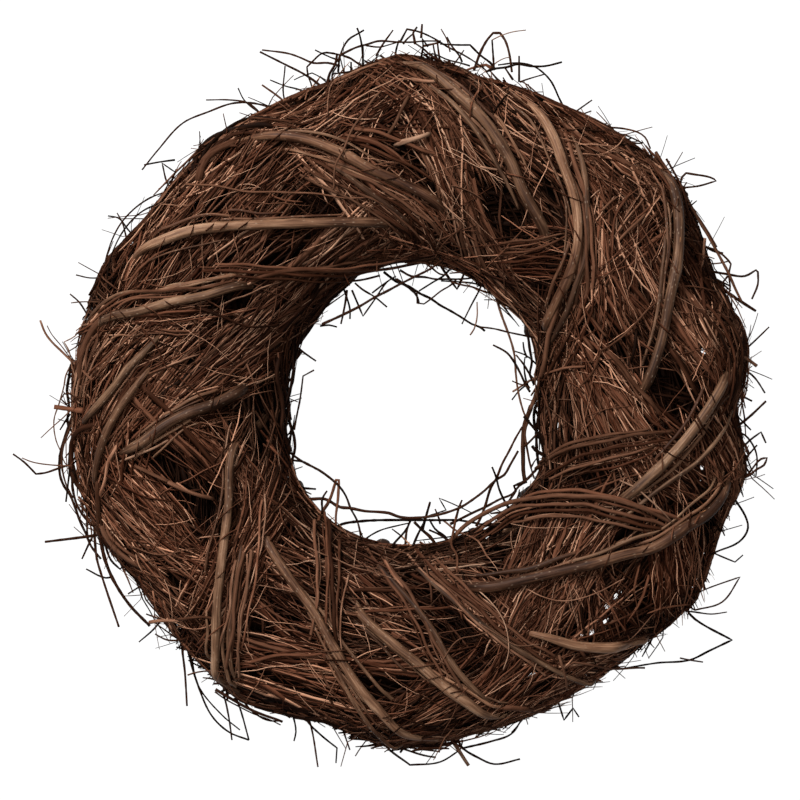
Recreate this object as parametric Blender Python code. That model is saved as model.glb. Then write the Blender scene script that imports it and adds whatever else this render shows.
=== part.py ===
"""Wreath of dark woody vines wound round bundles of fine brushwood twigs.

Metres, +Z up. The wreath lies flat with its back on the plane z = 0. The middle of its
hole is on the Z axis, and its front faces up. Places on it are given by two angles:
round is the angle about the Z axis, counted from +X towards +Y, and over is the angle
about the ring's own middle line: 0 at the outer edge, 90 on the front, 180 at the edge
of the hole and 270 on the back.
"""

import math
import random

import bmesh
import bpy
import numpy as np
from mathutils import Vector

MM = 0.001
WELD_DISTANCE = 1e-6
ROUGHNESS = 0.75

# The ring body, over the ridges of its twigs
RING_RADIUS = 139.5 * MM
RING_OVAL = 4.8 * MM  # the ring is this much longer up and down, and shorter across
HALF_WIDTH = 62.0 * MM
HALF_DEPTH = 40.0 * MM

# The twig bundles, laid end to end round the ring
BUNDLES = 12
BUNDLE_SLANT = 22.0  # degrees round, from the middle line to either edge
BUNDLE_GAP = 0.36  # degrees round
RIDGES = 28
RIDGE_TOP = 0.99
RIDGE_VALLEY = 0.875
RIDGE_UNEVEN = 0.02
RIDGE_WANDER = 0.25
END_SCALE = 0.93
BUNDLE_RINGS = [0.0, 0.1, 0.5, 0.9, 1.0]
# How far the twigs of each bundle turn over the ring along their length, in degrees
BUNDLE_TURNS = [20, 26, -16, 24, 30, 22, -20, 24, 18, -24, 28, -18]

# Loose twigs that leave each bundle: how many of a kind, and the ranges of where they
# leave it (degrees over), how far out their tips are (as a scale of the section), how
# far round they run and how far over they turn, in degrees
LOOSE_TWIGS = {
    "outside": (6, (-58, 58), (1.16, 1.50), (7, 15), (-14, 14)),
    "inside": (2, (120, 240), (1.08, 1.19), (10, 24), (-12, 12)),
    "front": (6, (45, 135), (1.08, 1.20), (9, 16), (-16, 16)),
}
TWIG_SIDES = 3
TWIG_RADIUS = 0.8 * MM
TWIG_TIP = 0.55  # the tip's radius, as a part of the root's
TWIG_POINTS = 5
TWIG_ROOT_SCALE = 0.74
TWIG_BEND = 0.8
TWIG_KINK = 2.5  # degrees
TWIG_BARE_FROM = 2  # the first point outside the bundle, where kinks start
TWIG_TRIES = 400
TWIG_SPREAD = 0.8  # how much of its bundle's length the roots are spread over
WALL_MARGIN = 1.8  # degrees round, from a twig inside its bundle to the end wall
PASSING_SCALE = 1.045  # a twig this far out passes over the next bundle
SPOT_STEP = 1.5 * MM
VINE_SPOT_STEP = 2.0 * MM
HOLE_CLEAR_RADIUS = 63.0 * MM
FARTHEST_ACROSS = 214.5 * MM
FARTHEST_UP = 219.0 * MM
FLOOR_CLEAR = 1.2 * MM

# The vines
VINE_SEAT = 0.2 * MM  # from the bundles' outline to a vine's side
SHORT_VINE_SEAT = -0.25 * MM  # the short ones lie on the ridges, just inside that outline
VINE_STEP = 11.0  # degrees over, between two points of a vine
BACK = 270.0  # degrees over
REST_DROP = 0.7 * MM  # how much further out the three lowest vines run along the back
REST_SPREAD = 45.0  # degrees over, to either side of the back, in which that fades
REST_FLAT_DEPTH = 0.8 * MM  # how deep each of them is flattened where it rests
REST_RADIUS = 3.3 * MM
REST_BLOCK = 60.0 * MM
CLEARANCE = 0.6 * MM

CENTRE_HEIGHT = HALF_DEPTH + VINE_SEAT + 2 * REST_RADIUS + REST_DROP - REST_FLAT_DEPTH

SEED = 5

# Each vine: radius at its thick end and at its thin end in mm, then the places it
# passes as pairs of degrees over and degrees round.
WRAPPING_VINES = {
    "binding_vine_01": (3.0, 2.3, [
        (43, 73), (50, 68), (61, 62.5), (73, 57), (84, 50.5), (96, 44.5), (113, 38.5),
        (124, 35.5), (150, 27), (180, 15), (325, -7)]),
    "binding_vine_02": (3.3, 3.3, [
        (30, 95), (35, 91), (46, 86.5), (57, 82), (70, 75), (84, 68), (97, 60.5), (106, 51),
        (140, 44), (180, 35), (325, 13)]),
    "binding_vine_03": (3.2, 2.4, [
        (49, 125.5), (57, 120.5), (69, 113.5), (83, 107), (98, 99.5), (107, 92), (116, 83),
        (145, 69), (180, 58), (325, 36)]),
    "binding_vine_04": (3.2, 2.4, [
        (40, 158), (50, 151), (59, 147), (70, 142), (83, 136.5), (97, 129.5), (111, 119.5),
        (122, 108), (128, 99), (150, 93.5), (180, 84), (325, 63)]),
    "binding_vine_05": (2.8, 2.2, [
        (30, 173), (36, 167), (47, 164), (63, 161.5), (78, 157.5), (93, 152.5), (107, 145.5),
        (130, 137), (180, 112), (325, 90)]),
    "binding_vine_06": (3.3, 3.3, [
        (52, 190.5), (70, 188.5), (86, 184.5), (93, 183), (110, 180), (124, 175.5),
        (180, 150), (325, 128)]),
    "binding_vine_07": (2.8, 2.2, [
        (24, 239), (30, 235.5), (37, 234), (51, 231.5), (71, 226), (93, 217), (106, 208),
        (117, 194.5), (145, 187), (180, 175), (325, 153)]),
    "binding_vine_08": (2.9, 2.3, [
        (33, 274.5), (45, 268.5), (59, 264), (74, 258), (89, 251), (101, 243), (108, 233),
        (112, 224), (140, 207), (180, 190), (325, 168)]),
    "binding_vine_09": (3.1, 2.4, [
        (41, 289.5), (49, 284.5), (62, 280.5), (74, 276), (87, 270.5), (98, 263.5),
        (107, 256.5), (140, 240), (180, 222), (325, 200)]),
    "binding_vine_10": (3.3, 3.3, [
        (27, 350), (45, 340), (57, 335.5), (68, 329.5), (81, 324), (91, 318), (102, 310),
        (110, 301.5), (118, 290), (150, 274), (180, 262), (325, 240)]),
    "binding_vine_11": (3.3, 2.4, [
        (19, 10), (34, 7), (46, 4), (58, -1.5), (69, -7.5), (80, -14.5), (90, -22),
        (101, -31), (140, -49), (180, -62), (325, -84)]),
    "binding_vine_12": (3.3, 2.5, [
        (17, 46), (34, 38), (46, 33), (58, 27.5), (70, 21.5), (82, 12), (90, 5), (115, -13),
        (150, -25), (180, -34), (325, -54)]),
}
SHORT_VINES = {
    "short_vine_01": (2.6, 2.4, [
        (25, 184.5), (46, 180), (56, 176.5), (64, 172.5), (72, 168.5), (82, 162)]),
    "short_vine_02": (2.6, 2.4, [(28, 197), (44, 188.5), (54, 183.5), (66, 177.5), (80, 169.5)]),
    "short_vine_03": (3.3, 2.8, [
        (0, 316.5), (37, 313), (54, 308), (66, 304), (80, 299.5), (90, 294.5)]),
    "thin_vine_01": (1.2, 1.0, [(16, 167.5), (44, 160), (74, 155), (105, 143)]),
    "thin_vine_02": (1.9, 1.6, [(40, 237.5), (56, 233.5), (87, 225.5), (104, 218.5)]),
    "thin_vine_03": (1.4, 1.2, [(21, 269), (33, 266), (57, 260), (67, 257), (76, 254), (88, 247)]),
    "thin_vine_04": (2.0, 1.6, [(55, 285.5), (78, 280), (110, 273), (148, 255)]),
    "thin_vine_05": (1.5, 1.3, [(30, 303.5), (65, 297), (102, 287), (148, 269)]),
    "thin_vine_06": (1.9, 1.6, [
        (96, 321.5), (107, 312.5), (113, 305.5), (120, 299), (126, 291.5), (132, 286.5)]),
    "thin_vine_07": (1.5, 1.2, [(36, -1.5), (58, -11), (80, -21), (100, -38)]),
    "thin_vine_08": (2.0, 1.7, [
        (53, 59.5), (69, 53), (84, 47), (97, 40.5), (110, 36), (123, 30.5), (148, 22)]),
    "thin_vine_09": (1.8, 1.5, [(50, 88), (72, 78), (90, 69.5), (104, 61)]),
    "thin_vine_10": (2.0, 1.6, [
        (85, 111), (94, 107), (104, 103.5), (114, 99), (125, 93.5), (135, 88)]),
}
RESTING_VINES = ["binding_vine_02", "binding_vine_06", "binding_vine_10"]

COLOURS = {
    "twig": (0.085, 0.040, 0.024, 1.0),
    "vine": (0.180, 0.115, 0.078, 1.0),
    "thin": (0.150, 0.082, 0.052, 1.0),
}


def clear_scene():
    for obj in list(bpy.data.objects):
        bpy.data.objects.remove(obj, do_unlink=True)


def new_collection(name):
    collection = bpy.data.collections.new(name)
    bpy.context.scene.collection.children.link(collection)
    return collection


def new_material(name, colour, roughness):
    material = bpy.data.materials.new(name)
    material.use_nodes = True
    shader = material.node_tree.nodes["Principled BSDF"]
    shader.inputs["Base Color"].default_value = colour
    shader.inputs["Roughness"].default_value = roughness
    shader.inputs["Metallic"].default_value = 0.0
    return material


def ring_radius(round_angle):
    return RING_RADIUS - RING_OVAL * math.cos(2 * round_angle)


def on_ring(round_angle, over_angle, scale=1.0, lift=0.0):
    """The point at these angles, at this scale of the ring's section, then lifted."""
    reach = (HALF_WIDTH * scale + lift) * math.cos(over_angle)
    height = (HALF_DEPTH * scale + lift) * math.sin(over_angle)
    radius = ring_radius(round_angle) + reach
    return Vector((
        radius * math.cos(round_angle),
        radius * math.sin(round_angle),
        CENTRE_HEIGHT + height,
    ))


def section_scale(point):
    """How far out a point lies: 1 on the section's outline, less inside it."""
    round_angle = math.atan2(point.y, point.x)
    reach = math.hypot(point.x, point.y) - ring_radius(round_angle)
    return math.hypot(reach / HALF_WIDTH, (point.z - CENTRE_HEIGHT) / HALF_DEPTH)


def slant(reach):
    """How far round a bundle's end wall has turned, this far from the middle line."""
    return math.radians(BUNDLE_SLANT) * reach / HALF_WIDTH


def smooth_curve(knots, x):
    """The value at x of a smooth curve through the knots."""
    xs = [k[0] for k in knots]
    ys = [k[1] for k in knots]
    steps = [(ys[i + 1] - ys[i]) / (xs[i + 1] - xs[i]) for i in range(len(xs) - 1)]
    slopes = [steps[0]]
    slopes += [(a + b) / 2 for a, b in zip(steps, steps[1:])]
    slopes.append(steps[-1])
    i = min(max(np.searchsorted(xs, x) - 1, 0), len(xs) - 2)
    width = xs[i + 1] - xs[i]
    t = (x - xs[i]) / width
    start = ys[i] * (1 + 2 * t) * (1 - t) ** 2 + slopes[i] * width * t * (1 - t) ** 2
    end = ys[i + 1] * t * t * (3 - 2 * t) + slopes[i + 1] * width * t * t * (t - 1)
    return start + end


def vine_path(name, thick, thin, places):
    """Points and radii along a vine that lies on the ring."""
    first, last = places[0][0], places[-1][0]
    count = max(2, math.ceil((last - first) / VINE_STEP))
    points, radii = [], []
    for i in range(count + 1):
        t = i / count
        over = first + (last - first) * t
        radius = (thick + (thin - thick) * t) * MM
        lift = radius + (VINE_SEAT if name in WRAPPING_VINES else SHORT_VINE_SEAT)
        if name in RESTING_VINES:
            lift += REST_DROP * math.exp(-((over - BACK) / REST_SPREAD) ** 2)
        turned = smooth_curve(places, over)
        points.append(on_ring(math.radians(turned), math.radians(over), lift=lift))
        radii.append(radius)
    return points, radii


def curve_object(name, points, radii, resolution, collection, material):
    """A tube with capped ends, on a polyline."""
    curve = bpy.data.curves.new(name, "CURVE")
    curve.dimensions = "3D"
    curve.bevel_depth = 1.0
    curve.bevel_resolution = resolution
    curve.use_fill_caps = True
    spline = curve.splines.new("POLY")
    spline.points.add(len(points) - 1)
    for spot, point, radius in zip(spline.points, points, radii):
        spot.co = (*point, 1.0)
        spot.radius = radius
    curve.materials.append(material)
    obj = bpy.data.objects.new(name, curve)
    collection.objects.link(obj)
    return obj


def to_mesh_object(obj):
    """The curve object as a mesh object of the same name, its caps welded."""
    graph = bpy.context.evaluated_depsgraph_get()
    mesh = bpy.data.meshes.new_from_object(obj.evaluated_get(graph))
    work = bmesh.new()
    work.from_mesh(mesh)
    bmesh.ops.remove_doubles(work, verts=work.verts, dist=WELD_DISTANCE)
    bmesh.ops.recalc_face_normals(work, faces=work.faces)
    work.to_mesh(mesh)
    work.free()
    name, collection, matrix = obj.name, obj.users_collection[0], obj.matrix_world.copy()
    bpy.data.objects.remove(obj, do_unlink=True)
    made = bpy.data.objects.new(name, mesh)
    made.matrix_world = matrix
    collection.objects.link(made)
    return made


def apply_modifiers(obj):
    graph = bpy.context.evaluated_depsgraph_get()
    mesh = bpy.data.meshes.new_from_object(obj.evaluated_get(graph))
    obj.modifiers.clear()
    obj.data = mesh


def bundle_body(name, index, rng, collection, material):
    """A bundle of twigs: a loft along the ring whose ridges run along the twigs."""
    middle = math.radians(index * 360 / BUNDLES)
    half = math.radians(180 / BUNDLES - BUNDLE_GAP / 2)
    turn = math.radians(BUNDLE_TURNS[index])
    spacing = math.tau / (2 * RIDGES)
    outline = []
    for i in range(2 * RIDGES):
        wander = rng.uniform(-1, 1) * RIDGE_WANDER * spacing
        scale = RIDGE_VALLEY if i % 2 else RIDGE_TOP
        outline.append((i * spacing + wander, scale - rng.uniform(0, RIDGE_UNEVEN)))
    work = bmesh.new()
    rings = []
    for along in BUNDLE_RINGS:
        at_end = along in (BUNDLE_RINGS[0], BUNDLE_RINGS[-1])
        ring = []
        for over, scale in outline:
            over += turn * (along - 0.5)
            scale = END_SCALE if at_end else scale
            leaning = slant(HALF_WIDTH * scale * math.cos(over))
            turned = middle + half * (2 * along - 1) + leaning
            ring.append(work.verts.new(on_ring(turned, over, scale)))
        rings.append(ring)
    count = len(outline)
    for ring, following in zip(rings, rings[1:]):
        for i in range(count):
            j = (i + 1) % count
            work.faces.new((ring[i], ring[j], following[j], following[i]))
    for ring, turned in ((rings[0], middle - half), (rings[-1], middle + half)):
        hub = work.verts.new(on_ring(turned, 0, 0))
        for i in range(count):
            work.faces.new((hub, ring[(i + 1) % count], ring[i]))
    bmesh.ops.triangulate(work, faces=work.faces)
    bmesh.ops.recalc_face_normals(work, faces=work.faces)
    mesh = bpy.data.meshes.new(name)
    work.to_mesh(mesh)
    work.free()
    mesh.materials.append(material)
    obj = bpy.data.objects.new(name, mesh)
    collection.objects.link(obj)
    return obj


def between(points, step):
    """Points no further apart than step along a polyline."""
    found = []
    for a, b in zip(points, points[1:]):
        count = max(1, math.ceil((b - a).length / step))
        found += [a.lerp(b, i / count) for i in range(count)]
    return found + [points[-1]]


def twig_route(index, kind, rng):
    """A loose twig's points: rooted deep in its bundle, then out past its surface."""
    _, overs, tips, sweeps, drifts = LOOSE_TWIGS[kind]
    middle = math.radians(index * 360 / BUNDLES)
    over = math.radians(rng.uniform(*overs))
    tip_scale = rng.uniform(*tips)
    sweep = rng.choice((-1, 1)) * math.radians(rng.uniform(*sweeps))
    drift = math.radians(rng.uniform(*drifts))
    offset = rng.uniform(-TWIG_SPREAD, TWIG_SPREAD) * math.pi / BUNDLES
    start = middle + slant(HALF_WIDTH * TWIG_ROOT_SCALE * math.cos(over)) + offset
    points = []
    for i in range(TWIG_POINTS):
        t = i / (TWIG_POINTS - 1)
        scale = TWIG_ROOT_SCALE + (tip_scale - TWIG_ROOT_SCALE) * t ** TWIG_BEND
        kink = math.radians(rng.uniform(-TWIG_KINK, TWIG_KINK)) if i >= TWIG_BARE_FROM else 0
        points.append(on_ring(start + sweep * t, over + drift * t + kink, scale))
    return points


def twig_is_clear(points, index, vine_spots, twig_spots):
    """Does the twig keep clear of the vines, the floor, the hole and other bundles?"""
    middle = math.radians(index * 360 / BUNDLES)
    half = math.radians(180 / BUNDLES - WALL_MARGIN)
    spots = between(points, SPOT_STEP)
    for p in spots:
        round_angle = math.atan2(p.y, p.x)
        reach = math.hypot(p.x, p.y) - ring_radius(round_angle)
        off = round_angle - slant(reach) - middle
        off = (off + math.pi) % math.tau - math.pi
        if abs(off) > half and section_scale(p) < PASSING_SCALE:
            return False
        if p.z < FLOOR_CLEAR + TWIG_RADIUS or math.hypot(p.x, p.y) < HOLE_CLEAR_RADIUS:
            return False
        if abs(p.x) > FARTHEST_ACROSS or abs(p.y) > FARTHEST_UP:
            return False
    at = np.array(spots)
    places, sizes = vine_spots
    gaps = np.linalg.norm(at[:, None] - places[None], axis=2) - sizes[None]
    if gaps.min() < TWIG_RADIUS + 2 * CLEARANCE:
        return False
    others = [spot for owner, spot in twig_spots if owner != index]
    if others:
        gaps = np.linalg.norm(at[:, None] - np.array(others)[None], axis=2)
        if gaps.min() < 2 * TWIG_RADIUS + 2 * CLEARANCE:
            return False
    return True


def grow_twigs(index, rng, vine_spots, twig_spots):
    """Routes of the loose twigs of one bundle, each clear of all that it isn't in."""
    routes = []
    for kind in [k for k in LOOSE_TWIGS for _ in range(LOOSE_TWIGS[k][0])]:
        for _ in range(TWIG_TRIES):
            points = twig_route(index, kind, rng)
            if twig_is_clear(points, index, vine_spots, twig_spots):
                routes.append(points)
                twig_spots += [(index, tuple(p)) for p in between(points, SPOT_STEP)]
                break
    return routes


def fuse(body, pieces_collection):
    """Joins the body and every object of the collection into one closed solid."""
    union = body.modifiers.new("union", "BOOLEAN")
    union.operation = "UNION"
    union.operand_type = "COLLECTION"
    union.collection = pieces_collection
    union.solver = "MANIFOLD"
    apply_modifiers(body)
    for obj in list(pieces_collection.objects):
        bpy.data.objects.remove(obj, do_unlink=True)
    bpy.data.collections.remove(pieces_collection)


def twig_profile(collection):
    """The three-sided outline that a loose twig is drawn along its route with."""
    curve = bpy.data.curves.new("twig_profile", "CURVE")
    curve.dimensions = "2D"
    spline = curve.splines.new("POLY")
    spline.points.add(TWIG_SIDES - 1)
    spline.use_cyclic_u = True
    for i, spot in enumerate(spline.points):
        angle = math.tau * i / TWIG_SIDES
        spot.co = (TWIG_RADIUS * math.cos(angle), TWIG_RADIUS * math.sin(angle), 0, 1)
    obj = bpy.data.objects.new("twig_profile", curve)
    obj.hide_render = True
    obj.display_type = "WIRE"
    collection.objects.link(obj)
    return obj


def add_vines(collection, cutters, materials):
    """All vines as tubes. Returns samples of their centre lines, with their radii."""
    places, sizes = [], []
    for group, shade in ((WRAPPING_VINES, "vine"), (SHORT_VINES, "thin")):
        for name, (thick, thin, route) in group.items():
            points, radii = vine_path(name, thick, thin, route)
            vine = curve_object(name, points, radii, 1, collection, materials[shade])
            if name in RESTING_VINES:
                flatten_under(to_mesh_object(vine), cutters)
            for spot in between(points, VINE_SPOT_STEP):
                places.append(tuple(spot))
                sizes.append(max(radii))
    return np.array(places), np.array(sizes)


def flatten_under(vine, cutters):
    """Cuts the vine flat on the plane z = 0, where it rests."""
    lowest = min((vine.matrix_world @ v.co for v in vine.data.vertices), key=lambda p: p.z)
    bpy.ops.mesh.primitive_cube_add(size=REST_BLOCK)
    block = bpy.context.object
    block.name = vine.name + "_floor"
    block.location = (lowest.x, lowest.y, -REST_BLOCK / 2)
    block.hide_render = True
    block.display_type = "WIRE"
    for holder in list(block.users_collection):
        holder.objects.unlink(block)
    cutters.objects.link(block)
    cut = vine.modifiers.new("flat", "BOOLEAN")
    cut.operation = "DIFFERENCE"
    cut.object = block


def add_bundles(collection, cutters, materials, vine_spots):
    """The twig bundles, each fused with its loose twigs."""
    rng = random.Random(SEED)
    profile = twig_profile(cutters)
    twig_spots = []
    for index in range(BUNDLES):
        name = f"twig_bundle_{index + 1:02d}"
        body = bundle_body(name, index, rng, collection, materials["twig"])
        loose = new_collection(name + "_loose")
        for points in grow_twigs(index, rng, vine_spots, twig_spots):
            taper = np.linspace(1.0, TWIG_TIP, len(points))
            twig = curve_object("twig", points, taper, 0, loose, materials["twig"])
            twig.data.bevel_mode = "OBJECT"
            twig.data.bevel_object = profile
            to_mesh_object(twig)
        fuse(body, loose)


def build():
    clear_scene()
    collection = new_collection("rattan_wreath")
    cutters = new_collection("cutters")
    materials = {name: new_material(name, c, ROUGHNESS) for name, c in COLOURS.items()}
    vine_spots = add_vines(collection, cutters, materials)
    add_bundles(collection, cutters, materials, vine_spots)


build()
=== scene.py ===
"""Looks of a wreath of dark woody vines wound round fine brushwood.

Metres, +Z up, in the frame of the solids. Places on the ring body are given by two angles:
round is the angle about the Z axis from +X towards +Y, and over is the angle about the
ring's own middle line: 0 at the outer edge, 90 on the front, 180 at the edge of the hole
and 270 on the back. Places read from the photograph are pixels of its 800 x 800 frame, and
a direction there is in degrees from the picture's right towards its top.
"""

import math

import bmesh
import bpy
import numpy as np
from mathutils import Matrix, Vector


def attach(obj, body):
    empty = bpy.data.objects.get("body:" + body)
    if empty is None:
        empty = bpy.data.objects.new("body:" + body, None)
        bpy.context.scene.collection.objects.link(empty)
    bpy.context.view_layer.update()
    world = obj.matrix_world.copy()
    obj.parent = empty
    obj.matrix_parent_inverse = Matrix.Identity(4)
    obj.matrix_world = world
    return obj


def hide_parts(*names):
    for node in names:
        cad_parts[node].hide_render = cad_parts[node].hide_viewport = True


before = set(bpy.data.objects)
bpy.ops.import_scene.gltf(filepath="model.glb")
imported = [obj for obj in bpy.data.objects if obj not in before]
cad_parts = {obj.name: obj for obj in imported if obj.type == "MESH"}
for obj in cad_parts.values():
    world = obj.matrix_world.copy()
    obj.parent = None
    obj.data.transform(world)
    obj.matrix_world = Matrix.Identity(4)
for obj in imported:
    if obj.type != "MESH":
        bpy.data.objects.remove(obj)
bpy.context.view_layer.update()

MM = 0.001

# The ring body and how high its middle line lies
RING_RADIUS = 139.5 * MM
RING_OVAL = 4.8 * MM
HALF_WIDTH = 62.0 * MM
HALF_DEPTH = 40.0 * MM
CENTRE_HEIGHT = 46.7 * MM

# The bundles of brushwood that the body is made of
BUNDLES = 12
BUNDLE_SLANT = math.radians(22.0)

# The photograph's frame, and the camera that sees the wreath as it does
PHOTO_SIZE = 800
PIXEL = 0.58 * MM  # at the height of the ring's middle line
HOLE_PIXEL = (412, 403)  # where the middle of the hole is in the photograph
LENS = 240.0  # mm, on a sensor 36 mm wide
SENSOR = 36.0
VIEW_WIDTH = PHOTO_SIZE * PIXEL
CAMERA_RISE = VIEW_WIDTH * LENS / SENSOR
CAMERA_X = (PHOTO_SIZE / 2 - HOLE_PIXEL[0]) * PIXEL
CAMERA_Y = (HOLE_PIXEL[1] - PHOTO_SIZE / 2) * PIXEL

# How far the vines lie off the body, and along its back how much further out the three
# resting ones run and how far in the others do, which fades over some degrees
VINE_SEAT = 0.2 * MM
SHORT_VINE_SEAT = -0.25 * MM
BACK = 270.0
REST_DROP = 0.7 * MM
BACK_SINK = 0.8 * MM
REST_SPREAD = 45.0

# How far the vines pull into the body at the edge of the hole, and how that fades
HOLE_SIDE = 180.0
EDGE_SINK = 3.5 * MM
EDGE_SPREAD = 22.0  # towards the front
BACK_EDGE_SPREAD = 45.0

# How deep the vines lie where the photograph shows them under the brushwood, and over how
# many degrees they get there
BURIED_DEPTH = 12.0 * MM
BURIED_RAMP = 12.0

# How far the vines' ends sink into the brushwood, over which length, and how they taper
END_SINK = 11.0 * MM
END_LENGTH = 18.0 * MM
SHORT_END_LENGTH = 10.0 * MM
THIN_END_SINK = 4.0 * MM
THIN_END_LENGTH = 11.0 * MM
END_TAPER = 26.0 * MM
END_SHARE = 0.5  # the radius at the very end, as a part of the vine's

# How the vines grew: how much longer they are than an arc of the body's half width, two
# bends to the side, two kinds of swell, and the knots
VINE_SLACK = 1.15
BEND_SIZES = (23 * MM, 9 * MM)  # the length of one radian of each
BEND_SHARES = (1, 0.4)
BEND_REACH = 0.12  # degrees round
SWELL_SIZES = (5 * MM, 13 * MM)
SWELL_SHARE = 0.03
KNOT_SPACING = (28, 60)  # mm
MOST_KNOTS = 40
KNOT_LENGTH = 2.4 * MM
KNOT_SHARE = 0.12

# The meshes: the length of a vine's steps and the fewest of them, and how many sides and
# points the other strands have
VINE_STEP = 2.0 * MM
LEAST_VINE_STEPS = 12
VINE_SIDES = 16
VINE_RIDGES = 0.06  # of the radius
TWIG_SIDES = 3
STICK_SIDES = 7
STRAY_SIDES = 5
TWIG_POINTS = 9
BACK_POINTS = 7
BRANCH_POINTS = 5
ARCH_POINTS = 13
COMPANION_POINTS = 28
WELD = 1e-7
SEED = 11

# The ground and the light: how much each glows, and for each softbox its place and width
# in metres and its power in watts
GROUND_GLOW = 1.0
GROUND_SIZE = 4.0  # half its width, in metres
AIR_GLOW = 0.14
SOFTBOXES = {
    "overhead_softbox": ((0.0, 0.0, 4.2), 2.4, 150.0),
    "left_softbox": ((-1.5, 1.9, 2.3), 0.8, 300.0)}
CAMERA_REACH = 20.0  # metres

# Each vine: radius at its thick end and at its thin end in mm, then the places it passes
# as pairs of degrees over and degrees round. The solids of the frame have the same routes.
BINDING_VINES = {
    "binding_vine_01": (3.0, 2.3, [
        (43, 73), (50, 68), (61, 62.5), (73, 57), (84, 50.5), (96, 44.5), (113, 38.5),
        (124, 35.5), (150, 27), (180, 15), (325, -7)]),
    "binding_vine_02": (3.3, 3.3, [
        (30, 95), (35, 91), (46, 86.5), (57, 82), (70, 75), (84, 68), (97, 60.5), (106, 51),
        (140, 44), (180, 35), (325, 13)]),
    "binding_vine_03": (3.2, 2.4, [
        (49, 125.5), (57, 120.5), (69, 113.5), (83, 107), (98, 99.5), (107, 92), (116, 83),
        (145, 69), (180, 58), (325, 36)]),
    "binding_vine_04": (3.2, 2.4, [
        (40, 158), (50, 151), (59, 147), (70, 142), (83, 136.5), (97, 129.5), (111, 119.5),
        (122, 108), (128, 99), (150, 93.5), (180, 84), (325, 63)]),
    "binding_vine_05": (2.8, 2.2, [
        (30, 173), (36, 167), (47, 164), (63, 161.5), (78, 157.5), (93, 152.5), (107, 145.5),
        (130, 137), (180, 112), (325, 90)]),
    "binding_vine_06": (3.3, 3.3, [
        (52, 190.5), (70, 188.5), (86, 184.5), (93, 183), (110, 180), (124, 175.5),
        (180, 150), (325, 128)]),
    "binding_vine_07": (2.8, 2.2, [
        (24, 239), (30, 235.5), (37, 234), (51, 231.5), (71, 226), (93, 217), (106, 208),
        (117, 194.5), (145, 187), (180, 175), (325, 153)]),
    "binding_vine_08": (2.9, 2.3, [
        (33, 274.5), (45, 268.5), (59, 264), (74, 258), (89, 251), (101, 243), (108, 233),
        (112, 224), (140, 207), (180, 190), (325, 168)]),
    "binding_vine_09": (3.1, 2.4, [
        (41, 289.5), (49, 284.5), (62, 280.5), (74, 276), (87, 270.5), (98, 263.5),
        (107, 256.5), (140, 240), (180, 222), (325, 200)]),
    "binding_vine_10": (3.3, 3.3, [
        (27, 350), (45, 340), (57, 335.5), (68, 329.5), (81, 324), (91, 318), (102, 310),
        (110, 301.5), (118, 290), (150, 274), (180, 262), (325, 240)]),
    "binding_vine_11": (3.3, 2.4, [
        (19, 10), (34, 7), (46, 4), (58, -1.5), (69, -7.5), (80, -14.5), (90, -22),
        (101, -31), (140, -49), (180, -62), (325, -84)]),
    "binding_vine_12": (3.3, 2.5, [
        (17, 46), (34, 38), (46, 33), (58, 27.5), (70, 21.5), (82, 12), (90, 5), (115, -13),
        (150, -25), (180, -34), (325, -54)]),
}
SHORT_VINES = {
    "short_vine_01": (2.6, 2.4, [
        (25, 184.5), (46, 180), (56, 176.5), (64, 172.5), (72, 168.5), (82, 162)]),
    "short_vine_02": (2.6, 2.4, [(28, 197), (44, 188.5), (54, 183.5), (66, 177.5), (80, 169.5)]),
    "short_vine_03": (3.3, 2.8, [
        (0, 316.5), (37, 313), (54, 308), (66, 304), (80, 299.5), (90, 294.5)]),
    "thin_vine_01": (1.2, 1.0, [(16, 167.5), (44, 160), (74, 155), (105, 143)]),
    "thin_vine_02": (1.9, 1.6, [(40, 237.5), (56, 233.5), (87, 225.5), (104, 218.5)]),
    "thin_vine_03": (1.4, 1.2, [(21, 269), (33, 266), (57, 260), (67, 257), (76, 254), (88, 247)]),
    "thin_vine_04": (2.0, 1.6, [(55, 285.5), (78, 280), (110, 273), (148, 255)]),
    "thin_vine_05": (1.5, 1.3, [(30, 303.5), (65, 297), (102, 287), (148, 269)]),
    "thin_vine_06": (1.9, 1.6, [
        (96, 321.5), (107, 312.5), (113, 305.5), (120, 299), (126, 291.5), (132, 286.5)]),
    "thin_vine_07": (1.5, 1.2, [(36, -1.5), (58, -11), (80, -21), (100, -38)]),
    "thin_vine_08": (2.0, 1.7, [
        (53, 59.5), (69, 53), (84, 47), (97, 40.5), (110, 36), (123, 30.5), (148, 22)]),
    "thin_vine_09": (1.8, 1.5, [(50, 88), (72, 78), (90, 69.5), (104, 61)]),
    "thin_vine_10": (2.0, 1.6, [
        (85, 111), (94, 107), (104, 103.5), (114, 99), (125, 93.5), (135, 88)]),
}
RESTING_VINES = ["binding_vine_02", "binding_vine_06", "binding_vine_10"]

# From how many degrees over each vine lies under the brushwood, as the photograph shows
BURIED_VINES = {
    "binding_vine_01": 138, "binding_vine_02": 99, "binding_vine_03": 113,
    "binding_vine_04": 123, "binding_vine_05": 104, "binding_vine_06": 120,
    "binding_vine_07": 114, "binding_vine_08": 107, "binding_vine_09": 103,
    "binding_vine_10": 115, "binding_vine_11": 88, "binding_vine_12": 86}

# Until how many degrees over the start of a vine lies under the brushwood
HIDDEN_STARTS = {"binding_vine_11": 50, "short_vine_03": 52}

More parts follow.
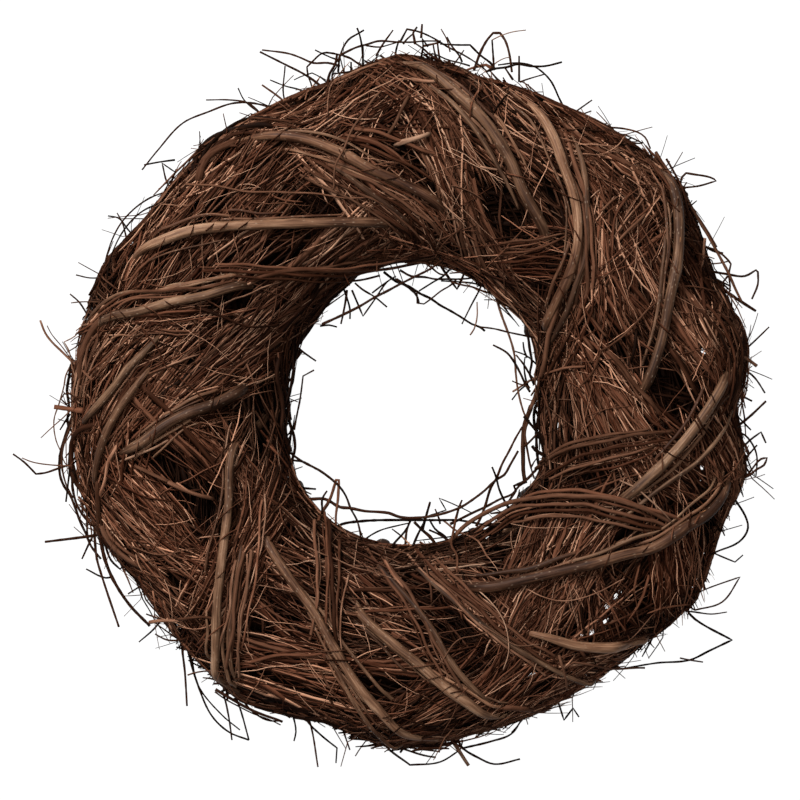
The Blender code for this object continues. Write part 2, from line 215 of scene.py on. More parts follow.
# How light the bark of each vine is, on the outer side and on the front
VINE_TONES = {
    "binding_vine_01": (0.50, 0.62), "binding_vine_02": (0.48, 0.42),
    "binding_vine_03": (0.46, 0.45), "binding_vine_04": (0.34, 0.64),
    "binding_vine_05": (0.42, 0.50), "binding_vine_06": (0.22, 0.34),
    "binding_vine_07": (0.52, 0.58), "binding_vine_08": (0.62, 0.55),
    "binding_vine_09": (0.66, 0.60), "binding_vine_10": (0.16, 0.36),
    "binding_vine_11": (0.44, 0.52), "binding_vine_12": (0.36, 0.34),
    "short_vine_01": (0.34, 0.42), "short_vine_02": (0.34, 0.42), "short_vine_03": (0.50, 0.62)}
THIN_VINE_TONES = (0.40, 0.42)
TONE_WAVE = 0.05
TONE_WAVE_SIZE = 7  # degrees over, of one radian of it
VINE_WARMTH = (0.0, 0.4)
OUTER_SIDE_UNTIL = 42.0  # degrees over
OUTER_SIDE_RAMP = 22.0
# Painted shade: the vines' bark is darkened towards the hole, and more again within it
FAR_SIDE_PAINTED_SHADE = 0.22  # how much darker they are towards the hole
FAR_SIDE_FROM = 75.0  # degrees over
FAR_SIDE_RAMP = 50.0
IN_HOLE_PAINTED_SHADE = 0.3  # and how much darker again within it
IN_HOLE = 207.0  # degrees over
IN_HOLE_SPREAD = 28.0

# Thin strands laid beside each vine: how many, their radius in mm, how far round from it
# and how much of its length each takes, in degrees over
COMPANIONS = 4
COMPANION_RADII = (0.55, 1.3)
COMPANION_ASIDE = (1.9, 4.6)
COMPANION_LENGTHS = (26, 60)
COMPANION_SLOPE = 2.0  # degrees round
COMPANION_BEND = 0.35  # degrees round
COMPANION_ENDS = 0.22  # of its length
COMPANION_SINK = 5.0  # mm
COMPANION_SEAT = 0.3  # mm

# Thin twigs that arch over each vine: how many, how far they reach in pixels, how quickly
# they come down beside it, how they differ from the brushwood's own way and from straight
# in degrees, at what angle they cross the vine at least, and their radius in mm
ARCHES = 5
ARCH_LENGTHS = (30, 80)
ARCH_SPREAD = 10.0
ARCH_TURN = 16
ARCH_CROSSING = 30
ARCH_RADII = (0.4, 0.8)
ARCH_GAP = 0.4  # mm, between it and the vine

# Layers of brushwood that go round each bundle: sprays in a bundle, twigs in a spray, the
# range of their scale, as a part of the body's section, the range of their radius in mm,
# how much painted shade darkens their bark, more the deeper they lie, from 0 on the outside
# to 1 in the middle, whether they also lie on the front, and between which degrees over
# their middles are. The last one closes the back.
LAYERS = {
    "deep": (9, 16, (0.76, 0.88), (0.7, 1.3), 0.95, True, (0, 360)),
    "middle": (12, 24, (0.87, 0.95), (0.6, 1.1), 0.5, False, (0, 360)),
    "outer": (14, 26, (0.94, 1.01), (0.5, 0.9), 0.15, False, (0, 360)),
    "outer side": (5, 20, (0.95, 1.01), (0.5, 0.9), 0.1, True, (-24, 12)),
}
BACK_LAYER = (3, 18, (0.98, 1.02), (0.5, 0.9), 0.1, False, (205, 335))
FRONT_STARTS = 0.22  # the sine of the angle over from which the traced sprays take over
LAYER_HEADING = (12, 30)  # degrees: the middle and the spread

# A spray of these layers: the ranges of its breadth and length in mm, how far it fans out
# and bends in degrees, and the ranges of its bark's tone and warmth
LAID_BREADTHS = (14, 30)
LAID_LENGTHS = (45, 85)
LAID_FAN = 22
LAID_BEND = 25
LAID_TONES = (0.2, 0.6)
LAID_WARMTHS = (0.1, 0.9)
LAID_SLOPE = 0.08  # how much further out than the other an end may lie, in scale
LAID_MOST = 1.02  # the largest scale

# The sprays of the front: how far their twigs slide along each other, as a part of the
# length, how they bend, together and singly, in degrees, their lengths, as parts of the
# spray's, how uneven they are in radians, and the range of the bark's tone
SPRAY_SLIDE = 0.22
SPRAY_BENDS = (8, 18)
SPRAY_SIZES = (0.8, 2.0)
SPRAY_UNEVEN = 0.13
SPRAY_TONES = (0.24, 0.46)
SPRAY_TRIES = 4  # at making a twig shorter before it is left out
SPRAY_SHORTER = 0.7
TWIG_ARCH = 0.015  # how far its middle rises, in scale

# The twigs of the front: the middle and the spread of the logarithm of their radius, as a
# part of the spray's, the thinnest, how much darker than the spray the darkest is, over
# which range they are, by which power most are dark, and how much painted light makes
# those lighter that lie further out
TWIG_RADII = (-0.36, 0.3)
THINNEST = 0.25 * MM
TWIG_DARKER = 0.23
TWIG_TONES = 0.86
TWIG_DARK_POWER = 1.65
TWIG_PAINTED_LIGHT_OUT = 3.0
THICK_SHARE = 0.22  # the part of them that is thicker
THICK_TIMES = 1.9
THICK_DARKER = 0.04
THICK_LIGHTEST = 0.52

UNDER_SPRAYS = 250  # dark sprays under those that were traced
UNDER_COUNT = 12
GAP_SHARE = 0.85  # how much of each dark opening is kept free
GAP_CROSSERS = 0.1  # the part of the twigs that may cross the dark openings
# Painted shade at the hole's edge: the bark of the front's twigs is darkened there
HOLE_SHADE = 0.5  # how much darker the bark is at the hole's edge
HOLE_SHADE_FROM = 0.5  # from which part of the half width
HOLE_SHADE_RAMP = 0.4
SPRAY_SHARE = 1.3  # twigs made for each one that was counted in the photograph
BRANCH_SHARE = 0.35  # the part of the front's upper twigs that has a side branch
BRANCH_ANGLES = (25, 50)  # degrees
BRANCH_LENGTHS = (8, 24)  # pixels
HAIRS = 740  # single thin twigs on top
COVER_TWIGS = 12  # over each place where a vine goes under the brushwood
COVER_REACH = 7  # degrees over
CORE_STRANDS = 140
CORE_SCALES = (0.5, 0.84)
CORE_RADIUS = 3.4 * MM
CORE_OVERLAP = 1.2  # how long they are, as a part of a bundle's share of the ring

# Short tips that stand out all round: the degrees over that they stand round, how far to
# either side and how many, their length and radius in mm, and their angle to the body and
# the largest kink in radians
LOOSE_TIPS = [(0.0, 48.0, 340), (180.0, 42.0, 100)]
TIP_LENGTHS = (10, 38)
TIP_RADII = (0.35, 0.6)
TIP_ANGLES = (0.15, 0.85)
TIP_KINK = 0.7
TIP_START = 0.9  # the scale at which they start

# From which part of its half width the body's front has turned into its side, and how far
# above or below the middle height twigs, sticks and tips may pass there
RIM_FROM = 0.85
TWIG_RIM = 12.0 * MM
STICK_RIM = 9.0 * MM
STRAY_RIM = 14.0 * MM
EVENED_FROM = 20.0  # how far within the body's edge the sticks' heights are evened out, pixels
EVENED_POINTS = 7

# The least and the most that the brushwood fills of the body's half width at an edge, and
# how quickly it comes back to the full width away from the edge
LEAST_FULL = 0.76
MOST_FULL = 1.0
FULL_POWER = 3

# Where the body's outer edge and the hole's edge run in the photograph: pairs of degrees
# round and pixels from the middle of the hole
OUTER_EDGE = [
    (-60, 330), (-47, 332), (-35, 352), (-22, 331), (-12, 343), (-1, 322), (11, 340), (24, 322),
    (38, 345), (49, 340), (63, 332), (78, 331), (92, 348), (104, 320), (118, 325), (131, 325),
    (145, 322), (156, 337), (171, 339), (188, 340), (202, 340), (213, 325), (228, 332),
    (240, 342), (255, 324), (266, 343), (280, 335), (300, 330)]
HOLE_EDGE = [
    (-55, 144), (-42, 146), (-27, 149), (-8, 130), (14, 131), (34, 141), (50, 136), (66, 141),
    (82, 142), (95, 130), (126, 122), (153, 130), (187, 129), (217, 141), (240, 146),
    (269, 143), (294, 143), (305, 144)]

# Sprays of brushwood that the photograph shows on the front: the pixel at the middle of
# each, the way it runs in degrees from the picture's right towards its top, its length
# and breadth in pixels, how many twigs it has, their middle radius in mm, how far the
# spray fans out in degrees, and how warm its bark is
SPRAYS = {
    "upper left slope": ((238, 182), 46, 105, 105, 62, 0.95, 6, 0.5),
    "upper left shoulder": ((184, 200), 50, 75, 60, 28, 0.85, 6, 0.5),
    "left, under the long pale vine": ((160, 262), 58, 62, 75, 42, 0.75, 12, 0.55),
    "upper left, between two vines": ((250, 247), 42, 85, 110, 34, 1.2, 8, 0.45),
    "upper left, by the hole": ((300, 300), 42, 100, 85, 50, 0.95, 10, 0.4),
    "hole edge, upper left": ((335, 300), 43, 110, 30, 26, 0.9, 5, 0.3),
    "top left crest": ((345, 112), 38, 95, 55, 46, 0.85, 16, 0.55),
    "top left rim": ((300, 112), 15, 90, 22, 22, 0.75, 10, 0.5),
    "under the top vine's start": ((395, 84), -26, 62, 36, 26, 0.8, 16, 0.6),
    "above the second vine": ((382, 142), -31, 70, 30, 18, 1.0, 6, 0.85),
    "below the second vine": ((352, 190), -42, 95, 42, 26, 1.1, 6, 0.5),
    "towards the swath": ((418, 222), -44, 85, 42, 26, 1.0, 6, 0.45),
    "over the third vine": ((350, 243), 36, 90, 50, 38, 1.0, 10, 0.5),
    "hole edge, top": ((402, 256), 14, 75, 26, 24, 0.85, 10, 0.35),
    "crossed twigs at the top": ((402, 112), 30, 62, 46, 16, 0.8, 60, 0.6),
    "upper part of the swath": ((448, 152), -62, 120, 50, 36, 1.05, 10, 0.4),
    "lower part of the swath": ((478, 232), -71, 135, 52, 40, 1.1, 12, 0.35),
    "upper right of the top vine": ((522, 105), -40, 90, 56, 50, 0.85, 14, 0.5),
    "between the two top vines": ((508, 152), -36, 70, 44, 26, 0.95, 12, 0.5),
    "below the top vine": ((538, 178), -50, 70, 42, 22, 1.0, 8, 0.45),
    "reddish, right of the swath": ((530, 262), 0, 66, 52, 34, 0.85, 34, 0.85),
    "hole edge, upper right": ((520, 300), -44, 80, 34, 26, 0.9, 8, 0.35),
    "fan at the upper right": ((608, 165), -36, 80, 52, 46, 0.95, 26, 0.5),
    "upper right rim": ((610, 136), -6, 90, 20, 22, 0.75, 10, 0.5),
    "right of the fan": ((655, 190), -60, 66, 44, 30, 0.85, 20, 0.5),
    "crossing to the upper right": ((645, 225), 47, 66, 46, 28, 1.0, 16, 0.5),
    "steep, upper right": ((612, 252), -82, 90, 50, 34, 0.9, 18, 0.55),
    "outside the right vine, upper": ((708, 270), -55, 95, 40, 38, 0.9, 10, 0.4),
    "inside the right vine, upper": ((660, 272), -66, 80, 36, 24, 0.9, 12, 0.5),
    "crossed twigs, right": ((622, 322), -58, 66, 50, 26, 0.85, 24, 0.5),
    "long swath, right": ((562, 335), 72, 130, 50, 52, 1.05, 12, 0.55),
    "end of the long swath": ((548, 392), 84, 80, 34, 26, 0.95, 10, 0.4),
    "below the long swath": ((572, 425), -82, 62, 46, 32, 0.9, 12, 0.55),
    "middle right": ((618, 408), -57, 100, 56, 48, 0.95, 14, 0.6),
    "right, inside the rim": ((702, 342), -56, 100, 52, 48, 1.0, 14, 0.55),
    "right rim strands": ((738, 372), 84, 95, 18, 26, 0.8, 8, 0.7),
    "right, below the notch": ((716, 452), -62, 60, 48, 34, 0.75, 40, 0.55),
    "right, over the lower vine": ((668, 470), -45, 55, 60, 40, 0.75, 30, 0.55),
    "dark, between the stick sets": ((600, 472), 18, 90, 26, 18, 0.8, 14, 0.3),
    "below the stick arcs": ((562, 560), 67, 82, 76, 66, 0.95, 16, 0.45),
    "short crossed, lower right": ((618, 540), 40, 55, 40, 20, 0.95, 60, 0.4),
    "ochre fan, lower right": ((675, 572), -80, 62, 56, 72, 0.7, 34, 0.8),
    "open twigs, lower right": ((608, 608), -68, 66, 62, 34, 0.8, 60, 0.5),
    "crossing, lower right": ((612, 618), 38, 60, 56, 20, 0.75, 60, 0.5),
    "lower right, below the vine": ((535, 612), 58, 60, 56, 44, 0.95, 16, 0.45),
    "lower right rim": ((590, 668), 4, 90, 30, 26, 0.8, 20, 0.5),
    "bottom right fan": ((525, 675), 46, 72, 64, 52, 0.9, 14, 0.65),
    "bottom, below the vine": ((432, 706), 30, 95, 52, 56, 0.95, 14, 0.5),
    "bottom, level": ((392, 664), 0, 85, 28, 22, 1.0, 10, 0.5),
    "bottom rim": ((420, 738), 12, 110, 18, 24, 0.75, 12, 0.5),
    "lower left, level": ((295, 672), -14, 115, 66, 66, 1.05, 8, 0.65),
    "lower left rim": ((300, 706), -14, 100, 16, 22, 0.8, 10, 0.6),
    "lower left, inner": ((290, 588), -34, 60, 82, 46, 0.85, 24, 0.5),
    "bottom, inner slope": ((365, 572), -34, 95, 48, 36, 0.95, 12, 0.5),
    "hole edge, bottom": ((440, 556), 8, 110, 24, 36, 0.9, 8, 0.2),
    "bottom diagonal": ((476, 598), -43, 115, 44, 38, 1.0, 8, 0.5),
    "inner lower right": ((528, 562), 62, 66, 46, 36, 0.9, 12, 0.45),
    "crossed twigs, bottom": ((385, 622), -20, 66, 44, 18, 0.8, 50, 0.55),
    "left, down the slope": ((140, 535), -46, 105, 56, 54, 0.9, 10, 0.55),
    "left rim, lower": ((98, 520), -64, 95, 26, 30, 0.8, 10, 0.5),
    "left, low": ((190, 568), -16, 70, 50, 32, 0.85, 20, 0.6),
    "left, low rim": ((165, 602), -44, 60, 34, 20, 0.8, 16, 0.4),
    "lower left, over the vine": ((208, 590), 60, 95, 48, 44, 0.9, 10, 0.55),
    "lower left, beside the vine": ((244, 570), 70, 120, 36, 38, 1.0, 8, 0.55),
    "left of the hole, steep": ((262, 500), 74, 85, 36, 30, 0.85, 14, 0.5),
    "hole edge, lower left": ((296, 512), -42, 80, 30, 26, 0.9, 8, 0.3),
    "left slope": ((118, 400), 56, 100, 56, 56, 0.9, 12, 0.5),
    "left rim": ((84, 445), 88, 105, 22, 34, 0.75, 10, 0.5),
    "left, between the vines": ((172, 372), 48, 85, 56, 46, 0.9, 12, 0.5),
    "left, towards the hole": ((222, 378), 35, 95, 44, 46, 0.95, 8, 0.55),
    "left, short": ((190, 416), 24, 62, 32, 26, 0.85, 14, 0.55),
    "left, crossing": ((200, 458), -44, 92, 52, 52, 0.85, 8, 0.6),
    "left, tan": ((155, 490), -46, 80, 46, 36, 1.0, 8, 0.75),
    "left of the hole": ((235, 462), -70, 62, 32, 24, 0.8, 12, 0.45),
    "hole edge, left": ((272, 425), 86, 105, 36, 34, 0.9, 10, 0.25),
    "left, inner dark": ((262, 335), 42, 85, 44, 28, 0.9, 16, 0.35),
    "beside the fifth vine": ((158, 318), 12, 105, 30, 30, 0.9, 10, 0.55),
    "far left crest": ((110, 345), 48, 70, 40, 30, 0.85, 16, 0.5),
    "bottom right rim": ((548, 690), 28, 80, 34, 40, 0.85, 14, 0.5),
    "right rim, inner": ((722, 350), -84, 90, 34, 30, 0.85, 12, 0.5),
}

# Deep openings between the twigs: the pixel at the middle, half the length and half the
# breadth in pixels, and the way each runs
GAPS = {
    "below the top vine": ((506, 212), 25, 20, 20),
    "inside the right top vine": ((548, 190), 14, 9, -40),
    "upper left": ((280, 258), 24, 8, 10),
    "left, tall": ((264, 412), 28, 11, 90),
    "left, by the tan stick": ((170, 464), 22, 16, -25),
    "left, below the tan stick": ((194, 503), 20, 12, -25),
    "left, low": ((178, 580), 10, 10, 0),
    "left, inner": ((232, 300), 26, 10, -5),
    "right, big": ((671, 395), 27, 21, -35),
    "right, small": ((622, 346), 12, 8, -50),
    "right, beside the vine": ((642, 354), 9, 9, 80),
    "bottom, by the cut vine": ((353, 602), 10, 7, 0),
    "lower left": ((257, 626), 11, 9, 30),
    "lower right": ((622, 535), 16, 9, 40),
    "bottom right": ((540, 688), 14, 6, 25),
    "bottom, level": ((385, 682), 30, 6, 3),
    "lower left, level": ((258, 674), 20, 5, -10),
    "top": ((392, 150), 16, 7, 25),
    "left, upper": ((215, 205), 16, 8, 50),
    "right arcs": ((590, 478), 26, 6, 12),
}

# Small channels through the brushwood, where the ground shows: the pixel at the middle of
# each, and its radius in pixels
CHANNELS = [
    ((607, 606), 1.5), ((616, 595), 0.9), ((605, 621), 1.2), ((592, 632), 1.6), ((582, 635), 0.9),
    ((486, 527), 1.1), ((495, 521), 1.3), ((484, 538), 1.3), ((494, 541), 1.4), ((506, 530), 1.5),
    ((702, 467), 1.3), ((532, 674), 0.9), ((91, 450), 1.0), ((94, 485), 1.2), ((703, 351), 1.1)]
CHANNEL_SPREAD = 16.0  # how far along it a strand bends round a channel, in pixels
CHANNEL_CROSSING = 0.5 * MM  # thinner strands than this cross a channel
CHANNEL_TRIES = 9
CHANNEL_THINNED = (4, 7)  # the tries at which a strand is made thinner
CHANNEL_THINNER = 0.55
CHANNEL_SPARE = 0.3  # pixels

# How strands look: how light their bark is, and how warm
LOOKS = {
    "dark": (0.12, 0.35), "brown": (0.38, 0.3), "red": (0.43, 0.55), "tan": (0.56, 0.3),
    "pale": (0.7, 0.2), "ochre": (0.68, 0.6), "grey": (0.55, 0.1), "cream": (1.1, 0.4)}

# How much thinner the sticks and the standing tips are than they were read, and how many
# thin strands run beside each stick
STICK_SHARE = 0.8
STRAY_SHARE = 0.85
BESIDE_STICKS = 1
BESIDE_PIXELS = (1.6, 4.2)
BESIDE_SLOPE = 2.5  # pixels
BESIDE_SHARES = (0.4, 0.7)  # of the stick's radius
BESIDE_LENGTHS = (0.6, 1.05)  # of the stick's length
BESIDE_LOWER = 0.8  # mm
THIN_STICK = 1.0  # mm: nothing is laid beside a thinner one
SHORT_STICK = 60  # pixels: nor beside a shorter one
STICK_END_SINK = 3.0  # times its radius
STRAY_SCALE = 0.97  # where the standing tips start, as a part of the body's section
STRAY_RISES = (-0.35, 0.5)  # how steeply each rises
STRAY_RISE_MOST = 14 * MM

# Single sticks that the photograph shows on the body: their radius in mm, their look, how
# far they lie above the brushwood in mm, and the pixels that they pass
STICKS = [
    (3.2, "brown", 0, [(197, 186), (199, 170), (208, 156), (221, 147), (240, 142)]),
    (2.4, "dark", 0, [(193, 178), (196, 160), (209, 143), (233, 129), (262, 124), (285, 128)]),
    (1.4, "dark", 1, [(196, 170), (205, 150), (226, 130), (262, 117), (290, 120)]),
    (1.0, "brown", 2, [(206, 148), (236, 124), (270, 118), (305, 124)]),
    (0.8, "tan", 1, [(185, 185), (222, 187), (267, 192), (330, 195), (370, 198), (440, 203)]),
    (0.9, "tan", 7, [(380, 90), (358, 122), (345, 148), (336, 165), (332, 190)]),
    (2.2, "pale", 2, [(396, 146), (430, 132)]),
    (1.4, "grey", 1, [(408, 94), (386, 141)]),
    (1.4, "red", 2, [(340, 140), (365, 142), (395, 155), (410, 163)]),
    (1.2, "red", 2, [(345, 135), (380, 145), (410, 165)]),
    (1.5, "red", 2, [(355, 128), (400, 140), (437, 155)]),
    (1.3, "red", 1, [(351, 140), (403, 161), (437, 184)]),
    (1.4, "ochre", 1, [(412, 80), (440, 80)]),
    (1.2, "brown", 1, [(310, 160), (350, 180), (390, 200), (420, 225), (440, 250)]),
    (1.5, "tan", 1, [(318, 158), (356, 176), (397, 197), (427, 221), (446, 244)]),
    (1.1, "brown", 1, [(304, 167), (343, 186), (384, 207), (413, 230), (430, 251)]),
    (1.1, "red", 1, [(325, 155), (364, 172), (405, 194), (435, 219), (456, 243)]),
    (1.0, "grey", 1, [(300, 174), (336, 194), (376, 214), (404, 236)]),
    (1.2, "tan", 1, [(80, 335), (116, 297), (168, 291), (243, 280)]),
    (1.0, "tan", 1, [(92, 330), (124, 303), (172, 297), (238, 287)]),
    (0.9, "ochre", 1, [(86, 331), (118, 301), (160, 294)]),
    (1.3, "red", 2, [(202, 269), (250, 273), (299, 274), (351, 275), (411, 265), (434, 259)]),
    (1.1, "red", 2, [(215, 264), (262, 267), (310, 268), (360, 268), (408, 259)]),
    (1.0, "brown", 2, [(225, 275), (290, 281), (340, 281), (380, 275)]),
    (1.8, "brown", 1, [(560, 130), (570, 170), (583, 210), (588, 260), (585, 300)]),
    (1.6, "tan", 1, [(565, 132), (576, 170), (589, 210), (594, 258), (591, 298)]),
    (1.6, "brown", 1, [(553, 134), (564, 172), (576, 212), (581, 258), (577, 305)]),
    (1.0, "ochre", 2, [(571, 215), (577, 245), (578, 275)]),
    (0.9, "pale", 1, [(480, 165), (500, 170)]),
    (0.8, "pale", 1, [(500, 172), (505, 150)]),
    (1.0, "tan", 1, [(500, 245), (530, 240), (565, 232)]),
    (1.0, "brown", 1, [(498, 255), (535, 250), (570, 232)]),
    (1.0, "red", 1, [(500, 262), (545, 258), (575, 262)]),
    (1.0, "red", 1, [(630, 190), (617, 215), (612, 260)]),
    (0.9, "pale", 1, [(600, 211), (610, 203), (619, 198)]),
    (1.2, "pale", 1, [(620, 242), (634, 226), (645, 213)]),
    (0.8, "tan", 1, [(575, 125), (600, 127), (625, 130), (645, 137), (652, 148)]),
    (0.7, "dark", 1, [(580, 130), (620, 135), (643, 143)]),
    (2.0, "tan", 1, [(566, 280), (557, 300), (551, 330), (545, 361), (536, 390), (530, 410)]),
    (1.9, "brown", 0, [(530, 405), (524, 423), (523, 440), (523, 455), (524, 470), (527, 483)]),
    (0.8, "tan", 1, [(672, 290), (655, 305), (635, 325), (610, 345), (600, 350), (592, 372), (575, 395)]),
    (0.9, "tan", 1, [(585, 366), (558, 371), (542, 376), (532, 381), (512, 391)]),
    (1.9, "tan", 2, [(608, 349), (622, 366), (640, 392), (661, 416)]),
    (1.2, "tan", 2, [(592, 318), (609, 337)]),
    (1.6, "tan", 2, [(583, 338), (594, 352)]),
    (1.7, "brown", 1, [(668, 343), (682, 368), (697, 397)]),
    (0.9, "pale", 1, [(697, 314), (706, 328), (715, 345), (722, 354)]),
    (0.8, "cream", 1, [(700, 318), (709, 333), (717, 347)]),
    (0.7, "pale", 1, [(704, 318), (713, 331), (721, 347)]),
    (1.3, "dark", 1, [(638, 330), (635, 345), (630, 362)]),
    (0.7, "tan", 1, [(637, 335), (641, 377)]),
    (0.5, "tan", 2, [(627, 368), (650, 366), (675, 372)]),
    (1.5, "tan", 2, [(537, 470), (560, 452), (590, 443), (630, 437), (672, 430)]),
    (1.2, "brown", 2, [(545, 475), (575, 458), (610, 450), (650, 443), (680, 435)]),
    (1.1, "tan", 2, [(550, 480), (580, 466), (620, 455), (655, 447)]),
    (1.0, "red", 2, [(600, 470), (640, 458), (660, 448)]),
    (1.3, "brown", 2, [(540, 462), (572, 444), (610, 434), (650, 428)]),
    (2.0, "tan", 2, [(684, 526), (660, 515), (625, 503), (590, 497), (550, 495), (528, 498), (505, 505),
     (485, 514), (465, 527), (448, 541)]),
    (1.5, "brown", 2, [(672, 530), (640, 518), (600, 508), (560, 504), (530, 505), (505, 513), (490, 521),
     (475, 532), (455, 545)]),
    (1.4, "red", 2, [(676, 536), (640, 524), (600, 514), (560, 510), (530, 511), (512, 519), (495, 530),
     (478, 541)]),
    (1.2, "tan", 2, [(650, 530), (600, 521), (550, 517), (505, 522)]),
    (1.6, "red", 2, [(690, 522), (650, 508), (610, 497), (570, 491), (540, 492), (515, 499)]),
    (0.7, "pale", 4, [(620, 480), (650, 500), (672, 520)]),
    (1.4, "red", 0, [(723, 306), (737, 320), (746, 345), (747, 362), (746, 380), (741, 395), (733, 413)]),
    (1.2, "brown", 2, [(715, 308), (731, 322), (740, 345), (741, 365), (739, 384), (729, 412)]),
    (1.1, "red", 4, [(706, 305), (724, 325), (734, 350), (735, 372), (730, 395), (718, 418)]),
    (0.5, "red", 3, [(142, 327), (155, 345), (163, 365), (175, 375), (190, 385), (205, 400), (218, 420)]),
    (0.8, "pale", 3, [(141, 326), (120, 346), (106, 365), (97, 378)]),
    (1.0, "tan", 1, [(92, 380), (81, 371), (73, 365), (60, 350), (46, 333), (41, 320)]),
    (1.0, "dark", 1, [(195, 308), (225, 318), (250, 325), (285, 325)]),
    (1.0, "pale", 1, [(120, 460), (150, 450), (170, 440)]),
    (1.5, "brown", 1, [(135, 468), (150, 474), (172, 484)]),
    (1.7, "tan", 1, [(164, 479), (182, 489), (200, 497), (213, 500)]),
    (0.8, "ochre", 2, [(176, 484), (190, 491), (206, 496)]),
    (2.6, "brown", 0, [(108, 316), (95, 325), (86, 338), (81, 354), (80, 372), (84, 388)]),
    (2.0, "tan", 1, [(236, 287), (258, 277), (280, 272), (305, 271), (335, 270), (365, 268), (392, 263)]),
    (1.2, "brown", 2, [(648, 158), (662, 176), (672, 196), (677, 214)]),
    (1.3, "brown", 2, [(656, 152), (669, 170), (680, 192), (684, 216)]),
    (0.9, "red", 3, [(654, 168), (668, 186), (678, 206), (684, 230)]),
    (0.9, "dark", 3, [(665, 160), (677, 178), (688, 204), (692, 226)]),
    (1.8, "dark", 0, [(279, 345), (278, 375), (282, 395), (284, 412), (282, 431), (289, 452)]),
    (1.3, "dark", 0, [(300, 351), (286, 370), (281, 379), (289, 399), (291, 422), (294, 433), (294, 448),
     (291, 460), (291, 476)]),
    (0.9, "dark", 0, [(281, 386), (289, 404), (292, 420)]),
    (1.6, "brown", 2, [(243, 545), (238, 580), (233, 620), (228, 660), (225, 690)]),
    (1.3, "tan", 2, [(250, 550), (245, 600), (240, 640), (238, 680)]),
    (0.9, "ochre", 2, [(262, 500), (258, 560), (250, 600), (243, 650)]),
    (0.6, "pale", 2, [(266, 494), (263, 530), (257, 560), (249, 590)]),
    (1.1, "tan", 2, [(236, 560), (230, 600), (222, 640), (214, 676)]),
    (1.3, "red", 1, [(245, 662), (285, 656), (330, 652)]),
    (1.2, "dark", 0, [(215, 690), (240, 705), (262, 713), (283, 721)]),
    (0.5, "pale", 1, [(127, 545), (160, 553), (195, 548)]),
    (1.5, "ochre", 1, [(150, 624), (165, 621), (182, 619)]),
    (1.1, "brown", 1, [(176, 620), (200, 617), (225, 618)]),
    (1.6, "brown", 0, [(345, 590), (425, 588)]),
    (1.2, "red", 1, [(360, 613), (385, 612), (450, 606)]),
    (1.3, "tan", 2, [(315, 520), (317, 560), (315, 610), (310, 640)]),
    (1.6, "brown", 2, [(330, 520), (332, 570), (333, 620), (338, 650)]),
    (0.7, "pale", 2, [(347, 575), (342, 610), (341, 660)]),
    (1.0, "red", 2, [(326, 512), (327, 560), (327, 620), (325, 655)]),
    (1.2, "brown", 2, [(338, 540), (339, 590), (336, 640)]),
    (0.55, "tan", 3, [(300, 545), (340, 560), (380, 575), (400, 582)]),
    (1.4, "tan", 1, [(375, 545), (400, 580), (425, 620), (445, 660), (470, 700), (495, 710)]),
    (1.2, "brown", 1, [(368, 548), (392, 584), (416, 624), (437, 664), (460, 704)]),
    (1.2, "ochre", 1, [(383, 556), (395, 575), (406, 592)]),
    (1.6, "tan", 1, [(415, 550), (440, 575), (480, 610), (520, 645), (560, 670)]),
    (1.3, "brown", 1, [(424, 549), (450, 574), (489, 608), (529, 642), (567, 664)]),
    (1.2, "tan", 1, [(408, 554), (432, 580), (472, 617), (512, 652), (548, 676)]),
    (0.5, "pale", 3, [(440, 665), (460, 640), (475, 635), (492, 630)]),
    (0.5, "pale", 3, [(470, 580), (490, 600), (505, 625), (507, 650), (503, 670)]),
    (0.5, "pale", 3, [(475, 620), (500, 635), (520, 645), (540, 645)]),
    (0.9, "brown", 0, [(317, 636), (335, 670), (351, 700), (390, 735), (430, 748), (460, 742)]),
    (0.8, "tan", 0, [(310, 650), (330, 686), (350, 712), (392, 740), (440, 752)]),
    (0.9, "dark", 0, [(322, 690), (350, 722), (390, 744), (436, 757)]),
    (1.6, "pale", 0, [(450, 735), (456, 746), (468, 766)]),
    (2.2, "tan", 1, [(500, 708), (545, 709)]),
    (1.9, "cream", 2, [(537, 708), (547, 707)]),
    (1.5, "ochre", 1, [(574, 638), (586, 656)]),
    (1.1, "pale", 2, [(560, 655), (567, 680), (568, 690)]),
    (0.9, "tan", 1, [(570, 663), (610, 667), (645, 668)]),
    (0.5, "tan", 2, [(525, 590), (540, 597), (570, 600), (600, 590), (625, 580)]),
    (1.0, "tan", 2, [(456, 517), (451, 535), (450, 545), (457, 556), (458, 575)]),
    (0.8, "tan", 2, [(441, 521), (456, 531), (470, 537), (478, 541), (490, 558)]),
    (2.3, "brown", 0, [(104, 420), (92, 424), (80, 429), (73, 438), (71, 455), (73, 472), (80, 486),
     (92, 498)]),
    (2.2, "brown", 0, [(97, 512), (103, 532), (117, 550), (131, 560), (145, 568)]),
    (1.5, "ochre", 0, [(120, 440), (108, 462), (102, 485), (97, 505)]),
    (2.0, "brown", 0, [(96, 470), (97, 500), (99, 520), (104, 540), (120, 556)]),
    (0.9, "brown", 4, [(700, 310), (717, 330), (727, 352), (730, 372), (727, 392), (716, 412)]),
    (0.9, "dark", 4, [(712, 322), (726, 345), (735, 362), (737, 380), (728, 400)]),
    (0.6, "ochre", 1, [(684, 530), (690, 556), (692, 585)]),
    (0.6, "tan", 1, [(692, 525), (697, 552), (697, 580)]),
    (0.6, "ochre", 1, [(676, 540), (683, 565), (686, 592)]),
    (0.5, "tan", 1, [(702, 520), (703, 548), (700, 572)]),
    (0.6, "tan", 1, [(690, 570), (688, 592), (680, 612)]),
    (0.5, "ochre", 1, [(699, 560), (694, 585), (686, 605)]),
]
